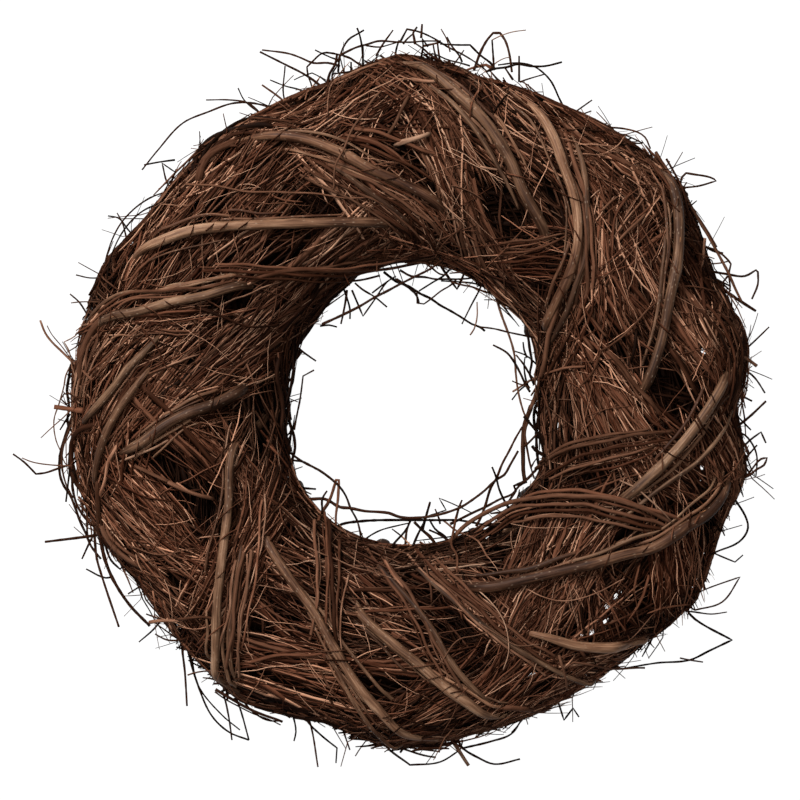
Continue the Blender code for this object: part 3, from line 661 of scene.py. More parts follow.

# Twig tips and loops that stand out from the body, from where they leave it: their radius
# in mm, their look where it isn't dark, and the pixels that they pass. Those without a look
# take the dark one, a painted shade for thin tips seen against the bright ground.
STRAYS = [
    (0.8, [(290, 118), (262, 105), (235, 103), (208, 112), (183, 123), (158, 150), (142, 170)]),
    (0.7, [(262, 115), (248, 103), (230, 100), (206, 100)]),
    (0.7, [(262, 115), (244, 100), (238, 88)]),
    (1.0, [(330, 94), (323, 88), (310, 78), (300, 72), (290, 67), (260, 52)]),
    (0.9, "red", [(340, 66), (328, 63), (313, 63), (301, 58), (290, 54), (262, 50)]),
    (0.8, [(363, 67), (357, 63), (348, 57), (340, 55), (330, 53), (323, 53), (312, 62), (307, 67),
     (308, 75), (312, 87), (312, 100)]),
    (0.6, [(337, 89), (330, 85), (320, 77), (312, 73), (300, 77), (294, 80)]),
    (0.7, [(318, 99), (313, 97), (300, 90), (285, 86), (270, 80)]),
    (0.6, [(296, 114), (293, 109), (295, 103), (291, 95)]),
    (0.7, [(292, 113), (284, 98), (285, 66)]),
    (0.9, "red", [(296, 113), (280, 98), (262, 85)]),
    (0.7, [(340, 60), (335, 59), (323, 54), (315, 50)]),
    (1.2, [(331, 94), (328, 82), (330, 73), (335, 65), (337, 55)]),
    (0.8, [(335, 92), (334, 86), (332, 75), (337, 66)]),
    (0.9, [(364, 71), (350, 72), (332, 74)]),
    (1.0, [(351, 88), (351, 83), (351, 62)]),
    (0.7, [(343, 88), (353, 77), (362, 70)]),
    (0.6, [(346, 86), (344, 74), (340, 57)]),
    (0.9, [(338, 72), (340, 56), (348, 40), (359, 33), (364, 30)]),
    (0.9, [(363, 68), (362, 48), (359, 33), (357, 28)]),
    (0.9, "brown", [(338, 62), (340, 55), (357, 47), (368, 44), (378, 41), (398, 42), (413, 42), (423, 41),
     (441, 41)]),
    (0.7, [(363, 60), (363, 45), (380, 47), (388, 45), (398, 42)]),
    (0.8, [(376, 56), (381, 47), (393, 30)]),
    (0.8, [(395, 58), (396, 50), (399, 40)]),
    (0.8, [(400, 42), (407, 29), (420, 32), (437, 40), (448, 47), (462, 54), (478, 64), (488, 72)]),
    (1.0, [(415, 44), (413, 33), (417, 27)]),
    (1.0, [(421, 38), (422, 24)]),
    (0.8, [(403, 44), (407, 39), (414, 33)]),
    (0.9, [(444, 64), (440, 60), (433, 57), (422, 48), (413, 42)]),
    (0.9, "tan", [(423, 46), (437, 43), (441, 42)]),
    (0.8, [(421, 58), (423, 45), (422, 38), (428, 47)]),
    (0.9, [(440, 62), (439, 56), (437, 40)]),
    (0.8, [(438, 60), (435, 54), (433, 44)]),
    (0.9, [(494, 70), (493, 66), (480, 55), (470, 45), (458, 45), (440, 44)]),
    (0.6, "grey", [(450, 52), (447, 40), (441, 29)]),
    (0.8, [(462, 62), (460, 57), (451, 45), (447, 37)]),
    (0.7, [(449, 70), (457, 60), (464, 50)]),
    (0.7, [(470, 66), (460, 63), (448, 60), (433, 54), (422, 55)]),
    (1.1, [(474, 70), (480, 53), (487, 40), (493, 33), (500, 33), (505, 40), (509, 52), (512, 72)]),
    (0.9, [(494, 70), (492, 40)]),
    (0.5, "grey", [(492, 40), (500, 36), (512, 32), (526, 30)]),
    (1.0, [(488, 71), (493, 69), (507, 67), (518, 64), (530, 66), (545, 66), (562, 62)]),
    (0.5, "grey", [(490, 68), (497, 62), (505, 58), (510, 57)]),
    (0.9, [(519, 82), (519, 56)]),
    (0.9, [(513, 80), (505, 68)]),
    (1.3, "red", [(493, 69), (486, 65), (476, 67), (467, 70)]),
    (0.8, [(574, 122), (570, 118), (560, 100), (550, 80), (535, 67), (520, 63), (498, 65)]),
    (0.7, [(520, 82), (525, 80), (545, 74)]),
    (0.7, [(568, 117), (592, 100)]),
    (0.7, [(572, 118), (591, 111)]),
    (0.9, [(600, 129), (587, 118), (582, 120)]),
    (0.7, [(186, 188), (150, 198), (122, 222), (107, 255), (103, 285), (106, 296)]),
    (0.7, [(168, 200), (140, 213), (118, 240), (107, 280), (110, 296)]),
    (0.7, [(142, 242), (130, 232), (118, 218), (108, 216)]),
    (0.7, [(128, 246), (122, 222), (117, 213)]),
    (0.7, [(172, 190), (168, 185), (162, 163), (175, 172), (170, 184)]),
    (0.8, [(175, 160), (160, 162), (144, 165)]),
    (0.7, [(110, 277), (90, 278), (76, 275)]),
    (0.8, [(94, 325), (88, 316), (79, 302), (70, 294)]),
    (0.6, "grey", [(106, 302), (80, 302), (71, 303)]),
    (0.6, "grey", [(92, 400), (80, 386), (72, 366), (69, 351), (64, 342), (75, 336), (80, 329), (86, 316),
     (90, 309)]),
    (1.2, [(88, 358), (81, 360), (71, 365), (69, 377), (67, 390), (69, 406), (68, 425), (76, 436)]),
    (0.6, "grey", [(71, 365), (66, 375), (64, 386), (59, 404), (54, 420), (56, 440), (61, 452), (65, 463),
     (74, 470)]),
    (0.7, [(86, 398), (74, 397), (70, 394), (64, 394), (61, 399), (66, 404), (76, 400)]),
    (2.2, "ochre", [(84, 411), (75, 410), (54, 407)]),
    (1.2, [(84, 395), (78, 404), (72, 418), (65, 437), (60, 456), (60, 475), (64, 486), (70, 495),
     (75, 507), (80, 521), (86, 534), (91, 546), (101, 559)]),
    (0.9, "brown", [(82, 402), (76, 412), (70, 428), (63, 448), (62, 466), (66, 484), (73, 498)]),
    (1.2, [(73, 434), (71, 450), (72, 471), (73, 490), (78, 507), (88, 521), (97, 529)]),
    (0.9, [(72, 464), (66, 466), (57, 469), (45, 473), (36, 474), (24, 462), (13, 454)]),
    (0.6, "grey", [(72, 466), (51, 465), (32, 462), (22, 458)]),
    (0.8, [(70, 414), (65, 422), (60, 430)]),
    (0.9, [(70, 468), (68, 485), (66, 502)]),
    (1.2, [(72, 470), (75, 475), (80, 489), (87, 504)]),
    (1.2, [(104, 534), (92, 536), (45, 542)]),
    (0.9, [(97, 530), (92, 538), (82, 559)]),
    (1.1, [(94, 512), (95, 540), (97, 559), (101, 573), (119, 627)]),
    (1.5, [(99, 532), (101, 541), (105, 559), (112, 577), (129, 604), (150, 626)]),
    (0.9, [(104, 540), (111, 560), (120, 569), (129, 561), (136, 566)]),
    (0.8, [(112, 577), (106, 578), (86, 569)]),
    (0.8, [(145, 590), (139, 587), (128, 594)]),
    (1.0, [(183, 632), (182, 642), (185, 673), (187, 706)]),
    (0.9, [(184, 634), (187, 647), (198, 685), (212, 716), (229, 732), (249, 740)]),
    (0.7, [(188, 640), (192, 660), (198, 685), (222, 715), (240, 730)]),
    (0.8, [(222, 690), (225, 699), (229, 718), (232, 740)]),
    (0.8, [(236, 698), (240, 708), (249, 740)]),
    (0.8, [(243, 700), (249, 708), (267, 720), (282, 721)]),
    (0.8, [(172, 622), (163, 620), (146, 614)]),
    (0.8, [(160, 622), (153, 630), (139, 642)]),
    (0.8, [(192, 636), (180, 640), (167, 640), (155, 634)]),
    (0.8, [(290, 708), (294, 719), (296, 732), (294, 741)]),
    (0.8, [(306, 712), (311, 726), (318, 767)]),
    (0.8, [(302, 710), (308, 722), (322, 736), (337, 748), (336, 763)]),
    (0.8, [(338, 716), (342, 727), (350, 750)]),
    (0.8, [(380, 735), (385, 745), (410, 765), (440, 762), (460, 750), (463, 740)]),
    (0.9, [(458, 738), (461, 746), (479, 758), (494, 764), (520, 759)]),
    (0.9, [(452, 742), (463, 748), (492, 741), (511, 734), (520, 722), (524, 714)]),
    (0.8, [(553, 690), (556, 696), (564, 720), (573, 708), (579, 717)]),
    (0.8, [(550, 694), (556, 691), (573, 688), (587, 683)]),
    (0.9, [(688, 612), (695, 619), (732, 640), (709, 651), (690, 660), (657, 663), (621, 669)]),
    (0.7, [(686, 611), (695, 612), (711, 614), (727, 612)]),
    (0.7, [(688, 606), (695, 610), (722, 602), (740, 577), (704, 590), (692, 596)]),
    (0.7, [(680, 658), (690, 660), (703, 662)]),
    (0.7, [(705, 548), (714, 553), (735, 562), (743, 555)]),
    (0.9, [(730, 494), (736, 501), (748, 524), (747, 532), (739, 542), (716, 552), (708, 556)]),
    (1.3, "brown", [(679, 186), (681, 190), (696, 215), (709, 237), (720, 257), (729, 274), (736, 290),
     (742, 302)]),
    (0.8, "brown", [(681, 188), (694, 210), (707, 230), (717, 247)]),
    (0.9, [(680, 189), (682, 177), (686, 173), (692, 174), (714, 179), (716, 181), (699, 186), (681, 188)]),
    (1.5, "brown", [(690, 264), (701, 273), (712, 282), (727, 292), (742, 302), (756, 311)]),
    (0.9, [(692, 262), (702, 271), (719, 281), (731, 291)]),
    (1.0, [(694, 266), (702, 269), (727, 274), (745, 276), (756, 270), (758, 272), (758, 284), (752, 299)]),
    (0.9, [(690, 238), (702, 245), (719, 252), (729, 261), (731, 264), (729, 274), (730, 290), (726, 300),
     (725, 308)]),
    (0.7, "grey", [(692, 264), (702, 264), (720, 263), (729, 261)]),
    (0.9, [(682, 218), (694, 227), (704, 240)]),
    (1.0, [(684, 232), (694, 237), (704, 240)]),
    (0.7, [(680, 208), (690, 219), (698, 222), (695, 232), (692, 241)]),
    (1.0, [(686, 238), (694, 242), (702, 245), (716, 252), (723, 253)]),
    (1.3, [(686, 232), (690, 240), (701, 257), (702, 264)]),
    (1.4, "pale", [(700, 268), (702, 262), (705, 238)]),
    (0.8, [(700, 268), (711, 276), (730, 286)]),
    (0.7, [(704, 262), (710, 280), (708, 291)]),
    (0.9, [(728, 276), (720, 286)]),
    (0.8, [(742, 352), (748, 347), (769, 327)]),
    (1.7, "pale", [(742, 356), (749, 360), (757, 366)]),
    (0.8, [(742, 370), (748, 372), (755, 378), (765, 393)]),
    (1.0, [(736, 391), (741, 395), (752, 401)]),
    (1.1, [(730, 431), (736, 427), (749, 417), (766, 401)]),
    (0.8, [(728, 408), (733, 412), (751, 430)]),
    (0.8, [(730, 428), (736, 431), (745, 435), (754, 447), (757, 457), (756, 476)]),
    (0.9, [(744, 446), (750, 440), (761, 432), (766, 443)]),
    (1.3, [(732, 430), (736, 435), (745, 445), (749, 454), (744, 464)]),
    (0.9, [(742, 460), (747, 456), (757, 445)]),
    (0.9, [(742, 478), (748, 476), (757, 469), (764, 465), (767, 458), (761, 459), (752, 469), (746, 477)]),
    (1.1, [(322, 324), (329, 321), (342, 315), (360, 306), (375, 297), (387, 291), (400, 284), (420, 274),
     (430, 269), (442, 260)]),
    (0.9, [(342, 282), (344, 289), (350, 309), (350, 319)]),
    (0.9, [(347, 290), (346, 299), (343, 315), (341, 324)]),
    (0.8, [(352, 290), (355, 297), (363, 316), (375, 299), (387, 282), (396, 276)]),
    (0.8, [(355, 283), (362, 289), (375, 297), (387, 307)]),
    (0.7, [(372, 293), (385, 283), (394, 277)]),
    (1.1, [(384, 272), (396, 281), (410, 287), (421, 294), (430, 298), (440, 305), (451, 311), (461, 317),
     (472, 324), (480, 327), (485, 331)]),
    (1.2, [(396, 279), (412, 290), (417, 296), (419, 304)]),
    (0.8, [(320, 326), (329, 325), (337, 327)]),
    (0.9, [(294, 344), (302, 351), (316, 361)]),
    (0.8, "grey", [(294, 430), (296, 419), (300, 399), (303, 376), (314, 370)]),
    (0.9, [(276, 366), (282, 362), (300, 351)]),
    (0.9, [(280, 440), (286, 436), (293, 430)]),
    (1.0, [(284, 448), (292, 454), (300, 460), (319, 470), (325, 474), (335, 482), (340, 487), (346, 496),
     (351, 509), (357, 520), (360, 531), (361, 540)]),
    (0.9, [(285, 458), (292, 460), (304, 462), (316, 469)]),
    (1.3, "red", [(318, 520), (322, 512), (329, 501), (336, 480), (339, 480), (338, 500), (336, 516),
     (336, 526)]),
    (1.0, [(296, 487), (304, 488), (316, 489)]),
    (1.0, [(322, 514), (322, 507), (322, 499), (327, 491)]),
    (1.2, [(302, 499), (311, 499), (325, 499), (340, 507), (350, 508), (365, 511), (381, 512), (389, 513),
     (400, 517), (426, 517), (441, 514), (461, 507), (472, 500), (484, 491), (497, 479), (504, 475),
     (510, 465), (518, 451)]),
    (1.1, [(334, 528), (342, 524), (362, 521), (382, 520), (407, 520), (441, 520), (456, 520), (471, 522),
     (480, 524)]),
    (0.7, [(364, 540), (371, 535), (381, 530), (400, 525), (409, 523)]),
    (0.7, [(411, 546), (401, 536), (392, 529)]),
    (1.0, [(392, 546), (396, 541), (405, 531), (411, 520)]),
    (1.1, "brown", [(405, 548), (407, 529), (412, 517)]),
    (1.0, [(412, 548), (417, 536), (425, 520)]),
    (1.4, [(438, 550), (435, 544), (430, 537), (422, 530), (414, 522)]),
    (1.2, [(422, 530), (426, 516), (430, 502)]),
    (1.0, [(449, 544), (445, 537), (435, 529), (429, 519)]),
    (1.0, [(452, 543), (446, 539), (440, 535), (429, 530)]),
    (0.6, [(428, 516), (446, 510), (439, 498), (451, 503), (464, 509), (472, 513)]),
    (0.8, [(440, 524), (439, 519), (435, 509)]),
    (1.0, "brown", [(456, 518), (459, 507), (462, 500)]),
    (1.1, [(450, 524), (456, 521), (472, 513), (487, 506), (500, 499), (512, 494), (519, 486), (526, 482)]),
    (1.1, "brown", [(476, 526), (480, 519), (485, 506), (491, 487), (496, 479), (502, 464), (509, 451),
     (515, 439), (522, 427)]),
    (1.0, [(510, 510), (506, 504), (499, 489), (496, 477), (492, 467)]),
    (1.1, [(536, 470), (525, 481), (514, 486), (516, 491), (507, 504)]),
    (0.8, [(536, 338), (526, 336), (507, 332), (495, 329), (480, 327)]),
    (0.7, [(482, 284), (479, 291), (472, 304), (462, 324)]),
    (0.6, "grey", [(470, 335), (474, 329), (477, 317), (477, 302)]),
    (0.7, [(456, 280), (451, 285), (441, 291), (431, 299), (424, 304), (417, 303), (417, 291)]),
    (0.8, [(462, 262), (454, 266), (442, 277), (435, 281), (419, 291)]),
    (1.1, [(438, 258), (440, 264), (447, 275), (457, 289), (461, 281), (466, 268)]),
    (0.9, [(400, 270), (411, 276), (425, 277), (435, 279), (447, 279), (460, 279), (482, 277)]),
    (0.8, [(498, 296), (490, 291), (480, 285), (460, 282), (441, 281)]),
    (0.9, [(502, 298), (496, 295), (485, 292), (472, 287), (462, 285), (451, 282)]),
    (0.8, [(424, 262), (431, 267), (440, 274), (448, 275)]),
    (1.0, "brown", [(490, 278), (492, 285), (496, 297), (502, 316), (509, 335), (514, 352), (516, 374),
     (518, 390), (523, 410), (527, 420)]),
    (0.5, [(514, 320), (510, 316), (500, 307)]),
    (1.0, [(530, 392), (526, 386), (522, 377), (514, 362), (507, 353), (493, 345)]),
    (0.7, [(536, 364), (532, 360), (525, 355), (514, 351)]),
    (0.8, [(527, 358), (524, 350), (523, 342)]),
    (1.1, [(526, 330), (528, 336), (530, 350), (532, 362), (530, 375), (534, 384)]),
    (0.9, [(534, 380), (530, 375), (524, 365), (516, 355)]),
    (0.8, [(529, 388), (527, 384), (524, 366), (525, 357)]),
    (0.7, [(530, 388), (526, 386), (519, 384), (512, 381)]),
    (0.8, [(530, 380), (525, 386), (519, 391), (512, 400)]),
    (1.3, [(538, 402), (535, 409), (534, 419), (536, 430), (545, 447), (551, 456)]),
    (1.4, [(541, 404), (540, 412), (537, 427), (537, 450), (540, 471), (542, 478)]),
    (1.1, [(524, 416), (529, 422), (540, 436), (547, 447), (554, 456)]),
    (1.0, [(524, 446), (527, 444), (535, 436), (541, 430)]),
    (1.5, [(545, 456), (535, 450), (532, 446)]),
    (0.7, [(542, 480), (534, 478), (531, 468), (534, 462), (538, 457)]),
]


def ring_radius(turned):
    return RING_RADIUS - RING_OVAL * np.cos(2 * turned)


def on_ring(turned, over, lift=0.0, sunk=0.0):
    """The point of the vines' seat at these angles, then lifted and sunk.

    It follows the brushwood, which isn't as wide everywhere: on the front of the hole's
    side as the brushwood bends, and elsewhere no further out than its edge. It sinks
    towards the body's middle height rather than sideways, so that it isn't seen to bend
    from in front.
    """
    lean, rise = math.cos(over), math.sin(over)
    full = float(fullness(turned, lean > 0))
    if lean < 0 < rise:
        reach = (HALF_WIDTH + lift) * lean * (1 - (1 - full) * abs(lean) ** FULL_POWER)
    else:
        reach = min((HALF_WIDTH + lift) * abs(lean), HALF_WIDTH * full + lift)
        reach = math.copysign(reach, lean)
    height = (HALF_DEPTH + lift) * rise
    reach -= sunk * lean * (1 - abs(rise))
    height -= sunk * rise * (2 - abs(rise))
    radius = ring_radius(turned) + reach
    return (radius * math.cos(turned), radius * math.sin(turned), CENTRE_HEIGHT + height)


def filled_shares(edge, way):
    """How full the body is at an edge, as pairs of degrees round and share."""
    shares = []
    for degrees, pixels in edge:
        reach = way * (pixels * PIXEL - ring_radius(math.radians(degrees)))
        shares.append((degrees, min(max(reach / HALF_WIDTH, LEAST_FULL), MOST_FULL)))
    return shares


OUTER_SHARES = filled_shares(OUTER_EDGE, 1)
HOLE_SHARES = filled_shares(HOLE_EDGE, -1)


def fullness(turned, outside):
    """The share of its half width that the body fills at these places."""
    degrees = np.degrees(turned)
    outer = np.interp(degrees, *zip(*OUTER_SHARES), period=360)
    inner = np.interp(degrees, *zip(*HOLE_SHARES), period=360)
    return np.where(outside, outer, inner)


def on_body(turned, over, scale):
    """Points of the brushwood at these angles, at this scale of the body's section."""
    lean, rise = np.cos(over), np.sin(over)
    full = fullness(turned, lean > 0)
    bent = np.abs(lean) * (1 - (1 - full) * np.abs(lean) ** FULL_POWER)
    reach = np.where(rise > 0, bent, np.minimum(np.abs(lean), full)) * np.sign(lean)
    radius = ring_radius(turned) + HALF_WIDTH * scale * reach
    height = CENTRE_HEIGHT + HALF_DEPTH * scale * rise
    return np.stack((radius * np.cos(turned), radius * np.sin(turned), height), axis=-1)


def from_photo(pixels, height):
    """Where the rays through these pixels of the photograph are at these heights."""
    pixel_there = PIXEL * (1 - (height - CENTRE_HEIGHT) / CAMERA_RISE)
    x = CAMERA_X + (pixels[..., 0] - PHOTO_SIZE / 2) * pixel_there
    y = CAMERA_Y + (PHOTO_SIZE / 2 - pixels[..., 1]) * pixel_there
    return x, y


def to_photo(points):
    """The pixels of the photograph at which these points are seen."""
    pixel_there = PIXEL * (1 - (points[..., 2] - CENTRE_HEIGHT) / CAMERA_RISE)
    right = (points[..., 0] - CAMERA_X) / pixel_there + PHOTO_SIZE / 2
    down = PHOTO_SIZE / 2 - (points[..., 1] - CAMERA_Y) / pixel_there
    return np.stack((right, down), axis=-1)


def reach_over(x, y):
    """The angle round of these places, and how far outside the middle line they are."""
    turned = np.arctan2(y, x)
    return turned, np.hypot(x, y) - ring_radius(turned)


def on_front(pixels, scale=1.0, lift=0.0, rim=0.0):
    """Points of the body's front at these pixels, or beside it this far over its middle."""
    pixels = np.asarray(pixels, float)
    height = np.full(pixels.shape[:-1], CENTRE_HEIGHT)
    for _ in range(3):
        x, y = from_photo(pixels, height)
        turned, reach = reach_over(x, y)
        full = fullness(turned, reach > 0)
        goal = np.abs(reach) / (HALF_WIDTH * scale + lift)
        low, high = np.zeros_like(goal), np.ones_like(goal)
        for _ in range(12):
            lean = (low + high) / 2
            short = lean * (1 - (1 - full) * lean ** FULL_POWER) < goal
            low, high = np.where(short, lean, low), np.where(short, high, lean)
        height = CENTRE_HEIGHT + (HALF_DEPTH * scale + lift) * np.sqrt(1 - low * low)
        height += rim * ((low - RIM_FROM) / (1 - RIM_FROM)).clip(0) ** 2
    x, y = from_photo(pixels, height)
    return np.stack((x, y, height), axis=-1)


def beyond_body(pixels):
    """How many pixels these places are outside the body, negative within it."""
    x, y = from_photo(np.asarray(pixels, float), CENTRE_HEIGHT)
    turned, reach = reach_over(x, y)
    return (np.abs(reach) - HALF_WIDTH * fullness(turned, reach > 0)) / PIXEL


def smooth_curve(knots, x):
    """The value at x of a smooth curve through the knots."""
    xs = [k[0] for k in knots]
    ys = [k[1] for k in knots]
    steps = [(ys[i + 1] - ys[i]) / (xs[i + 1] - xs[i]) for i in range(len(xs) - 1)]
    slopes = [steps[0]] + [(a + b) / 2 for a, b in zip(steps, steps[1:])] + [steps[-1]]
    i = min(max(np.searchsorted(xs, x) - 1, 0), len(xs) - 2)
    width = xs[i + 1] - xs[i]
    t = (x - xs[i]) / width
    start = ys[i] * (1 + 2 * t) * (1 - t) ** 2 + slopes[i] * width * t * (1 - t) ** 2
    end = ys[i + 1] * t * t * (3 - 2 * t) + slopes[i + 1] * width * t * t * (t - 1)
    return start + end


def eased(t):
    """A smooth step from 0 to 1 as t goes from 0 to 1."""
    t = np.clip(t, 0, 1)
    return t * t * (3 - 2 * t)


class Strand:
    """One twig or vine: its centre line and radii, and what its bark's colour follows."""

    def __init__(self, points, radii, tone, warmth, depth=0.0):
        self.points = np.asarray(points, float)
        self.radii = np.asarray(radii, float)
        self.tone = tone
        self.warmth = warmth
        # How much painted shade darkens the bark towards black, more the deeper the strand lies
        self.depth = depth


def round_profile(sides, ridges):
    """The outline of a strand, 1 m in radius, that a curve is given thickness with."""
    curve = bpy.data.curves.new("profile", "CURVE")
    curve.dimensions = "2D"
    spline = curve.splines.new("POLY")
    spline.points.add(sides - 1)
    spline.use_cyclic_u = True
    for i, spot in enumerate(spline.points):
        angle = math.tau * i / sides
        radius = 1 - ridges * abs(math.sin(2.3 * i))
        spot.co = (radius * math.cos(angle), radius * math.sin(angle), 0, 1)
    profile = bpy.data.objects.new("profile", curve)
    bpy.context.scene.collection.objects.link(profile)
    return profile


def strand_values(strands, sides):
    """For each vertex of the strands' mesh: its place on the bark, tone, warmth and painted shade.

    Blender writes the end caps of all strands first, from the last strand to the first,
    and then the sides of the strands in order.
    """
    angles = math.tau * np.arange(sides) / sides
    caps, walls = [], []
    for strand in strands:
        steps = np.linalg.norm(np.diff(strand.points, axis=0), axis=1)
        along = np.repeat(np.concatenate(([0.0], np.cumsum(steps))), sides)
        radii = np.repeat(strand.radii, sides)
        turned = np.tile(angles, len(strand.points))
        tones = np.broadcast_to(strand.tone, len(strand.points))
        rows = np.empty((len(along), 6))
        rows[:, 0] = along + tones[0]
        rows[:, 1] = radii * np.cos(turned)
        rows[:, 2] = radii * np.sin(turned)
        rows[:, 3] = np.repeat(tones, sides)
        rows[:, 4:] = strand.warmth, strand.depth
        walls.append(rows)
        caps.append(np.concatenate((rows[-sides:], rows[:sides])))
    return np.concatenate(caps[::-1] + walls)


def strands_object(name, strands, sides, material, ridges=0.0):
    """All strands as closed tubes in one mesh, with the values that their bark reads."""
    profile = round_profile(sides, ridges)
    curve = bpy.data.curves.new(name, "CURVE")
    curve.dimensions = "3D"
    curve.bevel_mode = "OBJECT"
    curve.bevel_object = profile
    curve.use_fill_caps = True
    for strand in strands:
        spline = curve.splines.new("POLY")
        spline.points.add(len(strand.points) - 1)
        places = np.ones((len(strand.points), 4))
        places[:, :3] = strand.points
        spline.points.foreach_set("co", places.ravel())
        spline.points.foreach_set("radius", strand.radii)
    rough = bpy.data.objects.new(name + "_line", curve)
    bpy.context.scene.collection.objects.link(rough)
    graph = bpy.context.evaluated_depsgraph_get()
    mesh = bpy.data.meshes.new_from_object(rough.evaluated_get(graph))
    bpy.data.objects.remove(rough)
    bpy.data.objects.remove(profile)
    values = strand_values(strands, sides)
    place = mesh.attributes.new("bark_place", "FLOAT_VECTOR", "POINT")
    place.data.foreach_set("vector", values[:, :3].ravel())
    # The last attribute is the painted shade, which mixes the bark towards black
    for column, kind in ((3, "tone"), (4, "warmth"), (5, "depth")):
        attribute = mesh.attributes.new(kind, "FLOAT", "POINT")
        attribute.data.foreach_set("value", values[:, column].copy())
    work = bmesh.new()
    work.from_mesh(mesh)
    bmesh.ops.remove_doubles(work, verts=work.verts, dist=WELD)
    for vertex in work.verts:
        vertex.co.z = max(vertex.co.z, 0.0)
    bmesh.ops.recalc_face_normals(work, faces=work.faces)
    work.to_mesh(mesh)
    work.free()
    mesh.name = name
    mesh.materials.clear()
    mesh.materials.append(material)
    piece = bpy.data.objects.new(name, mesh)
    bpy.context.scene.collection.objects.link(piece)
    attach(piece, "root")
    return piece


def linear_colour(hexadecimal):
    """An sRGB colour such as "#8a6c55" as linear RGBA."""
    channels = [int(hexadecimal[i:i + 2], 16) / 255 for i in (1, 3, 5)]
    flat = [c / 12.92 if c <= 0.04045 else ((c + 0.055) / 1.055) ** 2.4 for c in channels]
    return (*flat, 1.0)


def add_node(tree, kind, inputs=None, **settings):
    """Adds a node with its settings, and sets or links its inputs."""
    made = tree.nodes.new(kind)
    for name, value in settings.items():
        setattr(made, name, value)
    for name, source in (inputs or {}).items():
        if isinstance(source, bpy.types.NodeSocket):
            tree.links.new(source, made.inputs[name])
        else:
            made.inputs[name].default_value = source
    return made


def colour_ramp(tree, value, stops):
    """A colour ramp over the value, from pairs of place and hex colour."""
    ramp = add_node(tree, "ShaderNodeValToRGB", {"Fac": value})
    elements = ramp.color_ramp.elements
    while len(elements) < len(stops):
        elements.new(0.5)
    for element, (spot, colour) in zip(elements, stops):
        element.position = spot
        element.color = linear_colour(colour)
    return ramp.outputs["Color"]


def attribute(tree, name, output="Fac"):
    return add_node(tree, "ShaderNodeAttribute", attribute_name=name).outputs[output]


def arithmetic(tree, operation, *values, clamp=False):
    made = add_node(tree, "ShaderNodeMath", dict(enumerate(values)),
                    operation=operation, use_clamp=clamp)
    return made.outputs["Value"]


def mixed(tree, share, a, b):
    """The colour between a and b at this share."""
    made = add_node(tree, "ShaderNodeMix", {0: share, 6: a, 7: b}, data_type="RGBA")
    return made.outputs[2]


def bark_grid(tree, along, across):
    """Places on the bark in steps of this grain length and width in metres."""
    stretched = add_node(
        tree, "ShaderNodeMapping",
        {"Vector": attribute(tree, "bark_place", "Vector"),
         "Scale": (1 / along, 1 / across, 1 / across)})
    return stretched.outputs["Vector"]


def bark_noise(tree, along, across, detail=2.0):
    noise = add_node(
        tree, "ShaderNodeTexNoise",
        {"Vector": bark_grid(tree, along, across), "Scale": 1.0, "Detail": detail})
    return noise.outputs["Fac"]


def new_material(name, roughness, specular):
    material = bpy.data.materials.new(name)
    material.use_nodes = True
    shader = material.node_tree.nodes["Principled BSDF"]
    shader.inputs["Roughness"].default_value = roughness
    shader.inputs["Specular IOR Level"].default_value = specular
    return material, material.node_tree, shader


def twig_bark():
    """Unpeeled brushwood: dull bark, reddish brown to tan, with painted shade that darkens it towards black
    where it lies deep and at the hole's edge.
    """
    material, tree, shader = new_material("unpeeled_brushwood_bark", 0.7, 0.02)
    mottle = bark_noise(tree, 9 * MM, 1.2 * MM)
    spread = arithmetic(tree, "MULTIPLY_ADD", mottle, 0.5, -0.25)
    tone = arithmetic(tree, "ADD", attribute(tree, "tone"), spread, clamp=True)
    grey = colour_ramp(tree, tone, [
        (0.0, "#0b0402"), (0.3, "#25140b"), (0.65, "#483124"), (1.0, "#886b57")])
    red = colour_ramp(tree, tone, [
        (0.0, "#0c0401"), (0.3, "#2b1309"), (0.65, "#502f20"), (1.0, "#8a6049")])
    bark = mixed(tree, attribute(tree, "warmth"), grey, red)
    # Painted shade: the bark is mixed towards near black by each strand's painted shade
    shaded = mixed(tree, attribute(tree, "depth"), bark, linear_colour("#0a0301"))
    tree.links.new(shaded, shader.inputs["Base Color"])
    return material


